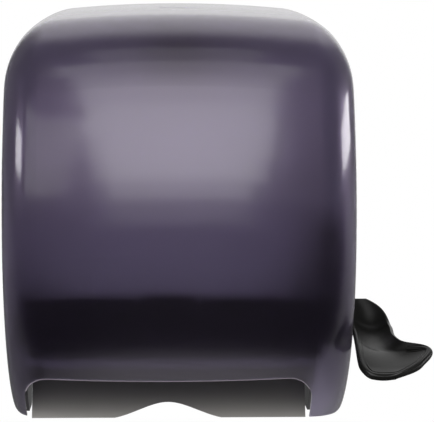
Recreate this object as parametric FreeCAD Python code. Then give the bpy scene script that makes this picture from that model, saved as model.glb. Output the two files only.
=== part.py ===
import FreeCAD, Part
import math
import os
from FreeCAD import Vector

# Wall-mounted lever dispenser for roll towels.  Millimetres, +Z up.
# The origin is on the wall plane at the centre of the mounting holes, the
# front faces -Y, and "forward" below is the distance in front of the wall.

# A "rise" is a height above the cover's bottom, a "drop" one below its top.

# ---- cover form ----
height = 324.0              # over the cover, bottom to top
cover_wall = 2.6
wall_gap = 2.0              # between the wall and the cover's back edge
case_room = 7.6             # from the gear case to the cover's widest place
crown_back = 8.0            # forward distance of the highest point
crown_radius = 800.0
crown_front = 137.0         # where the crown turns into the brow
brow_radius = 80.0
brow_end = 18.0             # degrees above level
belly_end = -6.0
chin_rise = 135.24          # of the chin's start
chin_radius = 172.0
bow_radius = 520.0          # sideways bow of the front and the crown
side_radius = 5000.0
side_middle = -15.0         # height of the widest place
shoulder_radius = 70.0
shoulder_drop = 69.0        # of the centre of the shoulder
foot_radius = 10.0
corner_radius = 31.0        # between the front and the sides

# ---- openings of the cover ----
path_middle = -8.5          # the paper path's middle, left of the cover's
arch_width = 220.8
arch_rise = 36.5            # at the arch's ends
arch_sag = 2.4              # the lip is lower in the middle
arch_corner = 17.5
arch_back = 60.0            # the arch is cut ahead of here
notch_clearance = 1.0       # round the lever's bush
filler_clearance = 0.8

# ---- back plate and hinge ----
plate_thick = 3.0
rim_reach = 14.0            # forward reach of the plate's rim
rim_wall = 2.2
rim_clearance = 1.2         # between the rim and the cover
plate_rise = 12.0
mount_spacing_x = 160.0
mount_spacing_z = 180.0
mount_hole = 3.0            # radius
mount_boss = 9.0            # radius
mount_boss_height = 1.4
hinge_forward = 14.0
hinge_pin = 2.5             # radius
hinge_boss = 5.5            # radius
hinge_boss_depth = 3.4
ear_thick = 5.0
ear_clearance = 0.5
running_gap = 0.05          # radial, in every running fit
screw_shank = 1.9           # radius
screw_head = 3.4
screw_head_height = 1.8

# ---- towel roll and its arms ----
roll_width = 203.0
roll_diameter = 190.0
roll_clearance = 4.0        # between the fullest roll and the back plate
roll_height = 35.0
roll_play = 2.0             # between the roll's end and an arm
hub_radius = 18.5
hub_nose = 15.0
hub_length = 14.0
hub_gap = 0.3               # between a hub and its arm
arm_thick = 4.0
arm_width = 24.0
spindle = 4.0               # radius
arm_pin = 2.0               # radius
arm_knuckle = 5.0
knuckle_gap = 0.4
knuckle_shift = 1.5         # outwards, so that it clears the roll's end
ear_high = 4.0
stop_thick = 1.6
arm_spring_radius = 4.0
spring_wire = 0.5           # radius
clip_radius = 6.5
clip_thick = 1.0

# ---- feed module ----
module_inset = 12.0         # from the cover's outer surface
module_wall = 2.2
module_top_rise = 101.0
module_rise = 52.0
module_play = 0.5           # at each end, to the side frames
frame_thick = 3.0
frame_rise = 34.0
cheek_back = 60.0           # the side frames' lower ends, beside the chute
cheek_rise = 1.5
cheek_corner = 10.0
frame_width = 219.4         # between the side frames' inner faces
frame_offset = 0.6          # of their middle, right of the paper path's
strip_left = 6.0            # front width of the left side frame
strip_right = 7.4
axle_rise = 74.0            # of the lever's and the feed roller's axes
feed_forward = 150.0
feed_shaft = 4.0            # radius
feed_core = 13.0
feed_sleeve = 17.0
sleeve_middle = 40.0        # length of the middle sleeve
sleeve_side = 56.0
sleeve_space = 8.0
press_roller = 9.0
press_shaft = 2.5
press_angle = 13.2          # of the nip, below level
press_pivot_forward = 112.0
press_pivot_rise = 88.5
press_arm = 5.0             # half width
press_arm_thick = 3.0
press_arm_space = 90.5      # from the paper path's middle
press_spring = 3.0          # radius
paper_gap = 0.3
bush_wall = 4.0
bush_flange = 1.5
bush_flange_step = 2.5
wheel_radius = 13.0
wheel_thick = 3.5
wheel_gap = 1.0             # between the wheel and the side frame
wheel_grips = 24
web_forward = 78.0
web_thick = 2.5
web_top_rise = 88.4
web_rise = 36.0
web_flange = 18.0
tie_forward = 170.0
tie_rise = 91.0
tie_size = 8.0
module_screw_space = 76.8
chute_forward = 112.0
chute_rise = 60.0
chute_radius = 114.0
chute_wall = 2.2
chute_gap = 3.2             # between the chute and each side frame
hump_width = 107.0
hump_height = 11.6
tear_forward = 158.0
tear_thick = 1.2
tear_top_rise = 56.0
tear_rise = 43.5
tear_pitch = 5.0
tear_depth = 3.0
tear_tab = 18.0

# ---- lever and gears ----
lever_shaft = 6.0           # radius
lever_bush_wall = 2.0
lever_gap = 1.0             # between the lever and the cover's side
lever_hub = 11.0            # radius
lever_hub_length = 21.0
lever_hub_round = 5.0       # radius of the hub's outer edge
lever_grip = 14.0           # length of the shaft inside the hub
grub_radius = 2.0
gear_module = 1.5
pinion_teeth = 16
wheel_teeth = 96            # of the whole wheel that the sector is cut from
pressure_angle = 20.0
tooth_tip = 0.85            # in modules
tooth_root = 1.15
backlash = 0.12
sector_gap = 6.2            # from the right side frame to the sector
sector_width = 6.0
sector_low = -8.5           # degrees
sector_high = 49.5
sector_hub = 12.0
sector_hub_end = 3.5        # of the hub, past the teeth
sector_rim = 7.0
sector_low_end = 17.0       # degrees, of the lower window
sector_high_start = 24.0
spiral_gap = 0.8            # between the hub and the spring's first turn
spiral_strip = 0.5
spiral_pitch = 0.9
spiral_turns = 2
spiral_width = 4.0
pinion_width = 8.0
pinion_collar = 9.0
clutch_wall = 2.4
case_depth = 21.2           # outwards from the right side frame
case_wall = 2.0
case_back = 22.0            # back from the lever's axis
case_front = 16.0           # ahead of the feed roller's axis
case_low = 16.0             # below the axes
case_high = 9.0             # above the sector's teeth
case_shoulder = 30.0        # above the axes
leaf_length = 119.0         # of the lever's leaf, ahead of its axis
leaf_drop = 35.8            # of the leaf's tip, below its axis
leaf_width = 60.4           # sideways reach of the leaf
leaf_thick = 5.6
leaf_dish = 7.0

# ---- latch ----
latch_forward = 97.0
latch_half = 16.8
latch_thick = 3.0
latch_hook_half = 12.0
latch_drop = 24.5           # of the hook's underside
latch_foot_thick = 2.5
latch_hook_drop = 17.4
latch_hook_thick = 3.5
latch_reach = 14.5          # of the hook, back from the latch
slot_half = 15.8
slot_thick = 2.0
blade_gap = 0.3
latch_ear = 4.3             # sideways reach of the ears that the springs push
latch_ear_half = 2.5
latch_ear_rise = 11.1       # above the hook's underside
latch_ear_thick = 2.0
latch_ear_gap = 0.3
latch_spring = 1.4          # radius
latch_wire = 0.3
key_slot = 6.2              # sideways place of the key slot
key_half = 0.8
key_length = 6.0
strike_half = 14.0
strike_base_half = 24.0
strike_drop = 16.8
strike_thick = 2.6
strike_tip = 91.0
strike_lip = 3.0
strike_low_drop = 64.5
strike_high_drop = 25.5
strike_base = 3.5
strike_rib = 3.0
guide_wall = 2.4

bottom = -height / 2
top = height / 2
over = 10.0                                 # a cutting form runs past what it cuts by this
beyond = 1.5 * height                       # past the whole dispenser
heel_radius = hinge_forward - wall_gap      # the cover's rear corner turns about the hinge
hinge_height = bottom + heel_radius
plate_bottom = bottom + plate_rise
shoulder_height = top - shoulder_drop
module_top = bottom + module_top_rise
module_bottom = bottom + module_rise
frame_bottom = bottom + frame_rise
cheek_bottom = bottom + cheek_rise
axle_height = bottom + axle_rise
press_pivot_height = bottom + press_pivot_rise
web_top = bottom + web_top_rise
web_bottom = bottom + web_rise
tie_height = bottom + tie_rise
chute_top = bottom + chute_rise
tear_top = bottom + tear_top_rise
tear_bottom = bottom + tear_rise
latch_foot = top - latch_drop
latch_hook_tip = top - latch_hook_drop
strike_under = top - strike_drop
strike_base_low = top - strike_low_drop
strike_base_high = top - strike_high_drop
frame_middle = path_middle + frame_offset
frame_left = frame_middle - frame_width / 2
frame_right = frame_middle + frame_width / 2
frame_outer = frame_right + frame_thick
case_outer = frame_outer + case_depth
half_width = case_outer + case_room         # of the cover at its widest
behind = half_width ** 2 / bow_radius + over    # clear of the bow's fall at the sides
sector_start = frame_outer + sector_gap
arch_left = path_middle - arch_width / 2
arch_right = path_middle + arch_width / 2
arch_top = bottom + arch_rise
chute_left = frame_left + chute_gap
chute_right = frame_right - chute_gap
roll_left = path_middle - roll_width / 2
roll_right = path_middle + roll_width / 2
roll_forward = plate_thick + roll_clearance + roll_diameter / 2
pinion_pitch = gear_module * pinion_teeth / 2
wheel_pitch = gear_module * wheel_teeth / 2
lever_reach = pinion_pitch + wheel_pitch    # between the lever's and the feed roller's axes
lever_forward = feed_forward - lever_reach
bush_outer = feed_shaft + bush_wall
lever_bush = lever_shaft + running_gap + lever_bush_wall
crown_turn = math.acos((crown_front - crown_back) / crown_radius)
brow_low = (top - crown_radius + (crown_radius - brow_radius) * math.sin(crown_turn)
            + brow_radius * math.sin(math.radians(brow_end)))
belly_radius = ((brow_low - bottom - chin_rise)
                / (math.sin(math.radians(brow_end)) - math.sin(math.radians(belly_end))))


def point(x, forward, z):
    return Vector(x, -forward, z)


def block(x0, x1, forward0, forward1, z0, z1):
    return Part.makeBox(x1 - x0, forward1 - forward0, z1 - z0, point(x0, forward1, z0))


def rod(radius, x0, x1, forward, z):
    return Part.makeCylinder(radius, x1 - x0, point(x0, forward, z), Vector(1, 0, 0))


def post(radius, x, forward, z0, z1):
    return Part.makeCylinder(radius, z1 - z0, point(x, forward, z0), Vector(0, 0, 1))


def stud(radius, x, z, forward0, forward1):
    return Part.makeCylinder(radius, forward1 - forward0, point(x, forward0, z), Vector(0, -1, 0))


def ring(outer, inner, x0, x1, forward, z):
    return rod(outer, x0, x1, forward, z).cut(rod(inner, x0 - 1, x1 + 1, forward, z))


def fuse(*shapes):
    whole = shapes[0]
    for shape in shapes[1:]:
        whole = whole.fuse(shape)
    return whole.removeSplitter()


def arc_edge(place, centre, radius, start, end):
    def at(angle):
        turn = math.radians(angle)
        return place(centre[0] + radius * math.cos(turn), centre[1] + radius * math.sin(turn))
    return Part.Arc(at(start), at((start + end) / 2), at(end)).toShape()


def rounded_face(corners, place):
    """A flat face from corners (u, v, radius); place turns (u, v) into a Vector."""
    edges = []
    last = None
    first = None
    count = len(corners)
    for index, (u, v, radius) in enumerate(corners):
        before = corners[index - 1]
        after = corners[(index + 1) % count]
        back = (before[0] - u, before[1] - v)
        ahead = (after[0] - u, after[1] - v)
        back_length = math.hypot(*back)
        ahead_length = math.hypot(*ahead)
        a = (back[0] / back_length, back[1] / back_length)
        b = (ahead[0] / ahead_length, ahead[1] / ahead_length)
        if radius <= 0:
            start = end = place(u, v)
        else:
            half_angle = math.acos(a[0] * b[0] + a[1] * b[1]) / 2
            reach = radius / math.tan(half_angle)
            start = place(u + a[0] * reach, v + a[1] * reach)
            end = place(u + b[0] * reach, v + b[1] * reach)
            m = (a[0] + b[0], a[1] + b[1])
            m_length = math.hypot(*m)
            depth = radius / math.sin(half_angle) - radius
            middle = place(u + m[0] / m_length * depth, v + m[1] / m_length * depth)
        if last is None:
            first = start
        elif last.distanceToPoint(start) > 1e-6:
            edges.append(Part.LineSegment(last, start).toShape())
        if radius > 0:
            edges.append(Part.Arc(start, middle, end).toShape())
        last = end
    if last.distanceToPoint(first) > 1e-6:
        edges.append(Part.LineSegment(last, first).toShape())
    return Part.Face(Part.Wire(edges))


def side_plate(corners, x0, x1):
    """Extrudes corners (forward, z, radius) from x0 to x1."""
    face = rounded_face(corners, lambda forward, z: point(x0, forward, z))
    return face.extrude(Vector(x1 - x0, 0, 0))


def front_plate(corners, forward0, forward1):
    """Extrudes corners (x, z, radius) between two forward distances."""
    face = rounded_face(corners, lambda x, z: point(x, forward0, z))
    return face.extrude(Vector(0, forward0 - forward1, 0))


# ---- cover form ----

def profile_arcs():
    """Centres, radii and angles of the side profile, each tangent to the next."""
    crown = (crown_back, top - crown_radius)
    crown_end = math.degrees(crown_turn)
    arcs = [(crown, crown_radius, 92.0, crown_end)]
    steps = ((brow_radius, brow_end), (belly_radius, belly_end), (chin_radius, -80.0))
    centre = crown
    radius = crown_radius
    angle = crown_end
    for next_radius, next_end in steps:
        turn = math.radians(angle)
        shift = radius - next_radius
        centre = (centre[0] + shift * math.cos(turn), centre[1] + shift * math.sin(turn))
        arcs.append((centre, next_radius, angle, next_end))
        radius = next_radius
        angle = next_end
    return arcs


def front_at(z, inset=0.0):
    """Forward distance of the middle of the cover's front at height z."""
    for centre, radius, start, end in profile_arcs()[1:]:
        r = radius - inset
        if z >= centre[1] + r * math.sin(math.radians(end)) or end < -70:
            return centre[0] + math.sqrt(r ** 2 - (z - centre[1]) ** 2)


def crown_at(forward, inset=0.0):
    """Height of the middle of the crown at a forward distance."""
    r = crown_radius - inset
    return top - crown_radius + math.sqrt(r ** 2 - (forward - crown_back) ** 2)


def side_at(z, inset=0.0):
    """Half the cover's width at height z, between the shoulder and the foot."""
    r = side_radius - inset
    return half_width - side_radius + math.sqrt(r ** 2 - (z - side_middle) ** 2)


def bowed_body(inset):
    def place(forward, z):
        return point(0, forward, z)
    edges = [arc_edge(place, centre, radius - inset, start, end)
             for centre, radius, start, end in profile_arcs()]
    crown_point = edges[0].Vertexes[0].Point
    chin_point = edges[-1].Vertexes[-1].Point
    corner_low = Vector(0, behind, chin_point.z)
    corner_high = Vector(0, behind, crown_point.z)
    edges.append(Part.LineSegment(chin_point, corner_low).toShape())
    edges.append(Part.LineSegment(corner_low, corner_high).toShape())
    edges.append(Part.LineSegment(corner_high, crown_point).toShape())
    face = Part.Face(Part.Wire(Part.__sortEdges__(edges)))
    share = math.sqrt(0.5)
    axis_point = point(0, -bow_radius * share, -bow_radius * share)
    axis = Vector(0, share, share)
    half_turn = math.degrees(math.asin(1.13 * half_width / bow_radius))
    face.rotate(axis_point, axis, -half_turn)
    return face.revolve(axis_point, axis, 2 * half_turn)


def front_outline(inset):
    """The cover seen from the front, open past the crown and past the feet."""
    def place(x, z):
        return Vector(x, behind + over, z)
    side = (half_width - side_radius, side_middle)
    low_angle = math.degrees(math.asin((bottom - over - side_middle) / side_radius))
    reach = math.sqrt((side_radius - shoulder_radius) ** 2 - (shoulder_height - side_middle) ** 2)
    shoulder = (side[0] + reach, shoulder_height)
    shoulder_start = math.degrees(math.atan2(shoulder_height - side_middle, reach))
    shoulder_end = 72.0
    edges = [arc_edge(place, side, side_radius - inset, low_angle, shoulder_start),
             arc_edge(place, shoulder, shoulder_radius - inset, shoulder_start, shoulder_end)]
    low = edges[0].Vertexes[0].Point
    high = edges[1].Vertexes[-1].Point
    above = top + shoulder_radius
    mirrored = [edge.mirror(Vector(0, 0, 0), Vector(1, 0, 0)) for edge in edges]
    lines = [((high.x, high.z), (high.x, above)), ((high.x, above), (-high.x, above)),
             ((-high.x, above), (-high.x, high.z)), ((-low.x, low.z), (low.x, low.z))]
    edges += mirrored + [Part.LineSegment(place(*a), place(*b)).toShape() for a, b in lines]
    return Part.Face(Part.Wire(Part.__sortEdges__(edges)))


def pillow(inset, low=None, high=None):
    """The cover's outer form moved inwards by inset, running back past the wall.

    With low and high it is only the slice between those heights."""
    outline = front_outline(inset).extrude(Vector(0, -beyond, 0))
    body = bowed_body(inset).common(outline)
    if low is not None:
        body = body.common(block(-half_width, half_width, -beyond, beyond, low, high))
    body = body.Solids[0]
    rounded = []
    for edge in body.Edges:
        kinds = {type(face.Surface).__name__ for face in body.ancestorsOfType(edge, Part.Face)}
        if "Cylinder" in kinds and kinds & {"Toroid", "SurfaceOfRevolution"}:
            rounded.append(edge)
    return body.makeFillet(corner_radius - inset, rounded)


def coil(radius, wire, length, turns, base, direction):
    """A coil spring of a given length from base along direction."""
    run = length - 2 * wire
    helix = Part.makeHelix(run / turns, run, radius)
    start = Vector(radius, 0, 0)
    section = Part.Wire(Part.makeCircle(wire, start, Vector(0, 1, run / turns / (2 * math.pi * radius))))
    spring = Part.Wire(helix).makePipeShell([section], True, True)
    spring = Part.makeSolid(spring) if spring.ShapeType == "Shell" else spring
    spring.translate(Vector(0, 0, wire))
    spring.Placement = FreeCAD.Placement(base, FreeCAD.Rotation(Vector(0, 0, 1), direction)).multiply(
        spring.Placement)
    return spring


def screw_forward(x, z, face, depth):
    """A pan-head screw whose head stands on face and whose shank goes back by depth."""
    shank = stud(screw_shank, x, z, face - depth, face)
    head = stud(screw_head, x, z, face, face + screw_head_height)
    return shank.fuse(head)


def screw_sideways(x, forward, z, depth, outwards):
    """The same along X; outwards is 1 where the head faces +X."""
    ends = sorted((x, x - outwards * depth))
    heads = sorted((x, x + outwards * screw_head_height))
    shank = rod(screw_shank, ends[0], ends[1], forward, z)
    return shank.fuse(rod(screw_head, heads[0], heads[1], forward, z))


# ---- front cover ----

def arch_face(forward):
    def place(x, z):
        return point(x, forward, z)
    low = bottom - over
    c = arch_corner
    turn = c * (1 - math.sqrt(0.5))
    left_arc = Part.Arc(place(arch_left, arch_top - c), place(arch_left + turn, arch_top - turn),
                        place(arch_left + c, arch_top)).toShape()
    lip = Part.Arc(place(arch_left + c, arch_top), place(path_middle, arch_top - arch_sag),
                   place(arch_right - c, arch_top)).toShape()
    right_arc = Part.Arc(place(arch_right - c, arch_top), place(arch_right - turn, arch_top - turn),
                         place(arch_right, arch_top - c)).toShape()
    right_line = Part.LineSegment(place(arch_right, arch_top - c), place(arch_right, low)).toShape()
    low_line = Part.LineSegment(place(arch_right, low), place(arch_left, low)).toShape()
    left_line = Part.LineSegment(place(arch_left, low), place(arch_left, arch_top - c)).toShape()
    return Part.Face(Part.Wire([left_arc, lip, right_arc, right_line, low_line, left_line]))


def notch(clearance, forward_low, x0, x1):
    """The path of the lever's bush through the cover's side, as an arc about the hinge."""
    rise = axle_height - hinge_height
    run = lever_forward - hinge_forward
    reach = math.hypot(run, rise)
    half = lever_bush + clearance
    band = ring(reach + half, reach - half, x0, x1, hinge_forward, hinge_height)
    far = 2 * reach
    wedge = side_plate([(hinge_forward, hinge_height, 0),
                        (hinge_forward + run * 2, hinge_height + rise * 2, 0),
                        (hinge_forward, hinge_height + far, 0),
                        (hinge_forward - far, hinge_height + far, 0),
                        (hinge_forward - far, hinge_height, 0)], x0, x1)
    band = band.common(wedge).fuse(rod(half, x0, x1, lever_forward, axle_height))
    return band.common(block(x0, x1, forward_low, beyond, bottom, top))


def front_cover():
    outer = pillow(0.0).common(block(-beyond, beyond, wall_gap, beyond, bottom, top + over))
    inner = pillow(cover_wall)
    shell = outer.cut(inner)
    wide = side_at(bottom + foot_radius)
    foot_x = wide - foot_radius
    foot_z = bottom + foot_radius
    for sign in (-1, 1):
        xs = sorted((sign * foot_x, sign * (wide + over)))
        corner = block(xs[0], xs[1], 0, beyond, bottom - over, foot_z)
        shell = shell.cut(corner.cut(stud(foot_radius, sign * foot_x, foot_z, -over, beyond + over)))
        wall = side_at(hinge_height, cover_wall)
        xs = sorted((sign * (wall - hinge_boss_depth), sign * (wall + cover_wall / 2)))
        shell = shell.fuse(rod(hinge_boss, xs[0], xs[1], hinge_forward, hinge_height))
        xs = sorted((sign * (wall - hinge_boss_depth - over), sign * (half_width + over)))
        shell = shell.cut(rod(hinge_pin + running_gap, xs[0], xs[1], hinge_forward, hinge_height))
    heel = block(-beyond, beyond, -over, hinge_forward, bottom - over, hinge_height)
    shell = shell.cut(heel.cut(rod(heel_radius, -beyond - 1, beyond + 1, hinge_forward, hinge_height)))
    shell = shell.cut(arch_face(arch_back).extrude(Vector(0, -beyond, 0)))
    shell = shell.cut(notch(notch_clearance, -over, case_outer - over, half_width + over))
    low = latch_foot
    shell = shell.cut(block(-slot_half, slot_half, latch_forward - slot_thick / 2,
                            latch_forward + slot_thick / 2, low, top + over))
    return shell.cut(block(key_slot - key_half, key_slot + key_half, latch_forward,
                           latch_forward + key_length, low, top + over))


def latch():
    stem_top = crown_at(latch_forward + latch_thick / 2, cover_wall) - 0.5
    stem = block(-latch_half, latch_half, latch_forward - latch_thick / 2, latch_forward + latch_thick / 2,
                 latch_foot, stem_top)
    blade_half = slot_thick / 2 - blade_gap
    blade = block(-slot_half + blade_gap, slot_half - blade_gap, latch_forward - blade_half,
                  latch_forward + blade_half, stem_top - 1, crown_at(latch_forward) - 0.6)
    foot_back = latch_forward - latch_reach
    foot = block(-latch_hook_half, latch_hook_half, foot_back, latch_forward, latch_foot,
                 latch_foot + latch_foot_thick)
    hook = block(-latch_hook_half, latch_hook_half, foot_back, foot_back + latch_hook_thick, latch_foot,
                 latch_hook_tip)
    body = fuse(stem, blade, foot, hook)
    for sign in (-1, 1):
        xs = sorted((sign * (latch_half - 1), sign * (latch_half + latch_ear)))
        body = body.fuse(block(xs[0], xs[1], latch_forward - latch_ear_half, latch_forward + latch_ear_half,
                               latch_foot + latch_ear_rise, latch_foot + latch_ear_rise + latch_ear_thick))
    return body.removeSplitter()


def latch_guide():
    """Two pockets under the crown that guide the latch's ears and hold its springs."""
    low = latch_foot + 2
    pockets = None
    for sign in (-1, 1):
        half = latch_ear_half + latch_ear_gap
        reach = latch_half + latch_ear + latch_ear_gap
        xs = sorted((sign * (latch_half + latch_ear_gap), sign * (reach + guide_wall)))
        case = block(xs[0], xs[1], latch_forward - half - guide_wall, latch_forward + half + guide_wall,
                     low, top)
        xs = sorted((sign * latch_half, sign * reach))
        room = block(xs[0], xs[1], latch_forward - half, latch_forward + half, low + guide_wall, top)
        case = case.cut(room)
        pockets = case if pockets is None else pockets.fuse(case)
    return pockets.common(pillow(cover_wall))


def latch_springs():
    low = latch_foot + 2 + guide_wall
    length = latch_foot + latch_ear_rise - low
    x = latch_half + (latch_ear + latch_ear_gap) / 2
    up = Vector(0, 0, 1)
    springs = [coil(latch_spring, latch_wire, length, 5, point(sign * x, latch_forward, low), up)
               for sign in (-1, 1)]
    return springs[0].fuse(springs[1])


def latch_strike():
    under, face = strike_under, plate_thick + strike_base
    arm = block(-strike_half, strike_half, plate_thick, strike_tip, under, under + strike_thick)
    lip = block(-strike_half, strike_half, strike_tip - strike_lip, strike_tip, under - strike_lip, under)
    base = block(-strike_base_half, strike_base_half, plate_thick, face, strike_base_low, strike_base_high)
    riser = block(-strike_half, strike_half, plate_thick, face, strike_base_high, under)
    body = fuse(arm, lip, base, riser)
    for x in (-strike_half, strike_half - strike_rib):
        body = body.fuse(side_plate([(face, strike_base_low + 4, 0), (strike_tip * 0.66, under, 0),
                                     (face, under, 0)], x, x + strike_rib))
    for x, z in strike_screw_places():
        body = body.cut(stud(screw_shank, x, z, 0, 20))
    return body.removeSplitter()


def strike_screw_places():
    x = (strike_base_half + strike_half) / 2
    return [(sign * x, z) for sign in (-1, 1) for z in (strike_base_low + 7, strike_base_high - 7)]


def group(shapes):
    return Part.makeCompound(shapes)


# ---- back plate ----

def back_plate():
    outer = pillow(cover_wall + rim_clearance).common(
        block(-beyond, beyond, 0, rim_reach, plate_bottom, top))
    hollow = pillow(cover_wall + rim_clearance + rim_wall).common(
        block(-beyond, beyond, plate_thick, rim_reach + 5, plate_bottom + rim_wall, top))
    plate = outer.cut(hollow)
    ear_outer = side_at(hinge_height, cover_wall) - hinge_boss_depth - ear_clearance
    for sign in (-1, 1):
        xs = sorted((sign * (ear_outer + 0.01), sign * (half_width + 5)))
        plate = plate.cut(block(xs[0], xs[1], plate_thick, rim_reach + 1, plate_bottom - 1,
                                hinge_height + hinge_boss + 4))
        xs = sorted((sign * (ear_outer - ear_thick), sign * ear_outer))
        ear = fuse(block(xs[0], xs[1], 0, hinge_forward, hinge_height - 6, hinge_height + 6),
                   rod(6, xs[0], xs[1], hinge_forward, hinge_height))
        plate = plate.fuse(ear).cut(rod(hinge_pin, xs[0] - 1, xs[1] + 1, hinge_forward, hinge_height))
    for x in (-mount_spacing_x / 2, mount_spacing_x / 2):
        for z in (-mount_spacing_z / 2, mount_spacing_z / 2):
            plate = plate.fuse(stud(mount_boss, x, z, plate_thick, plate_thick + mount_boss_height))
            plate = plate.cut(stud(mount_hole, x, z, -5, 20))
    for x, z in plate_screw_places():
        plate = plate.cut(stud(screw_shank, x, z, 0.8, 10))
    return plate.removeSplitter()


def frame_tab_places():
    """Tabs of the side frames on the back plate: x range and height of each."""
    return [(x0, x1, z) for x0, x1 in ((frame_left, frame_left + 13), (frame_right - 13, frame_right))
            for z in (module_top - 12, frame_bottom + 14)]


def plate_screw_places():
    places = strike_screw_places()
    places += [((x0 + x1) / 2, z) for x0, x1, z in frame_tab_places()]
    places += arm_screw_places()
    return places


def hinge_pins():
    ear_outer = side_at(hinge_height, cover_wall) - hinge_boss_depth - ear_clearance
    ends = (ear_outer - ear_thick, side_at(hinge_height) - 0.8)
    left = rod(hinge_pin, -ends[1], -ends[0], hinge_forward, hinge_height)
    right = rod(hinge_pin, ends[0], ends[1], hinge_forward, hinge_height)
    return left, right


# ---- side frames and what stands between them ----

def frame_form(inset):
    return pillow(inset, frame_bottom - 6, module_top + 6)


def leg_front(z):
    """How far forward there is room inside the cover's legs, beside the arch."""
    return front_at(z, cover_wall) - half_width ** 2 / (2 * bow_radius)


def side_frame(sign):
    form = frame_form(module_inset)
    hollow = frame_form(module_inset + module_wall)
    inner = frame_left if sign < 0 else frame_right
    width = strip_left if sign < 0 else strip_right
    xs = sorted((inner, inner + sign * frame_thick))
    plate = form.common(block(xs[0], xs[1], plate_thick, beyond, frame_bottom, module_top))
    xs = sorted((inner, inner + sign * width))
    strip = form.common(block(xs[0], xs[1], tear_forward, beyond, module_bottom, module_top)).cut(hollow)
    if sign > 0:
        strip = strip.cut(case_block())
    xs = sorted((inner, inner + sign * frame_thick))
    cheek_middle = (cheek_bottom + frame_bottom) / 2
    cheek = side_plate([(cheek_back, frame_bottom + over, 0), (cheek_back, cheek_bottom, cheek_corner),
                        (leg_front(cheek_bottom), cheek_bottom, 0),
                        (leg_front(cheek_middle), cheek_middle, 0),
                        (leg_front(frame_bottom), frame_bottom, 0),
                        (chute_forward, frame_bottom + over, 0)], *xs)
    body = plate.fuse(strip).fuse(cheek)
    for x0, x1, z in frame_tab_places():
        if (x0 + x1) * sign > 0:
            tab = block(x0, x1, plate_thick, plate_thick + 3, z - 8, z + 8)
            body = body.fuse(tab).cut(stud(screw_shank, (x0 + x1) / 2, z, 0, 20))
    x0, x1 = inner - 2 * over, inner + 2 * over
    body = body.cut(rod(bush_outer, x0, x1, feed_forward, axle_height))
    body = body.cut(rod(press_shaft, x0, x1, press_pivot_forward, press_pivot_height))
    for forward, z in tear_screw_places():
        body = body.cut(rod(screw_shank * 0.75, x0, x1, forward, z))
    if sign > 0:
        body = body.cut(rod(lever_bush, x0, x1, lever_forward, axle_height))
        for forward, z in case_screw_places():
            body = body.cut(rod(screw_shank, x0, x1, forward, z))
    return body.removeSplitter()


def frame_screws():
    return group([screw_forward((x0 + x1) / 2, z, plate_thick + 3, plate_thick + 2)
                  for x0, x1, z in frame_tab_places()])


def paper_chute():
    centre = (chute_forward + chute_radius, chute_top)
    drop = math.degrees(math.asin((chute_top - bottom) / chute_radius))

    def place(forward, z):
        return point(chute_left, forward, z)
    face_arc = arc_edge(place, centre, chute_radius, 180, 180 + drop)
    back_arc = arc_edge(place, centre, chute_radius + chute_wall, 180, 180 + drop)
    ends = [Part.LineSegment(face_arc.Vertexes[i].Point, back_arc.Vertexes[i].Point).toShape()
            for i in (0, -1)]
    section = Part.Face(Part.Wire(Part.__sortEdges__([face_arc, back_arc] + ends)))
    sheet = section.extrude(Vector(chute_right - chute_left, 0, 0))
    sheet = sheet.common(block(-beyond, beyond, 0, beyond, bottom + 0.3, chute_top))
    # the bottom edge rises in one smooth hump
    half = hump_width / 2
    shape = [(-1.0, 0.0), (-0.62, 0.2), (-0.3, 0.72), (0.0, 1.0), (0.3, 0.72), (0.62, 0.2), (1.0, 0.0)]
    crest = Part.BSplineCurve()
    crest.interpolate([point(path_middle + half * u, arch_back, bottom + hump_height * v) for u, v in shape])
    base = Part.LineSegment(point(path_middle + half, arch_back, bottom),
                            point(path_middle - half, arch_back, bottom))
    hump = Part.Face(Part.Wire([crest.toShape(), base.toShape()])).extrude(Vector(0, -beyond, 0))
    return sheet.cut(hump)


def feed_frame():
    web = block(frame_left, frame_right, web_forward, web_forward + web_thick, web_bottom, web_top)
    upper = block(frame_left, frame_right, web_forward, web_forward + web_flange, web_top - web_thick,
                  web_top)
    reach = chute_forward + chute_wall
    lower = block(frame_left, frame_right, web_forward, reach, web_bottom, web_bottom + web_thick)
    front = block(frame_left - 1, frame_right + 1, chute_forward - chute_wall * 0.2, beyond, web_bottom - 1,
                  web_top)
    rear_arc = rod(chute_radius + chute_wall, frame_left - 1, frame_right + 1, chute_forward + chute_radius,
                   chute_top)
    body = fuse(web, upper, lower).cut(rear_arc)
    return body.cut(front).removeSplitter()


def tie_bar():
    half = tie_size / 2
    bar = block(frame_left, frame_right, tie_forward - half, tie_forward + half, tie_height - half,
                tie_height + half)
    for x in module_screw_places():
        bar = bar.cut(stud(screw_shank, x, tie_height, tie_forward - half - 1, tie_forward + half + 1))
    return bar


def module_screw_places():
    return [path_middle - module_screw_space / 2, path_middle + module_screw_space / 2]


def module_face(z):
    return front_at(z, module_inset) + 1.6


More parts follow.
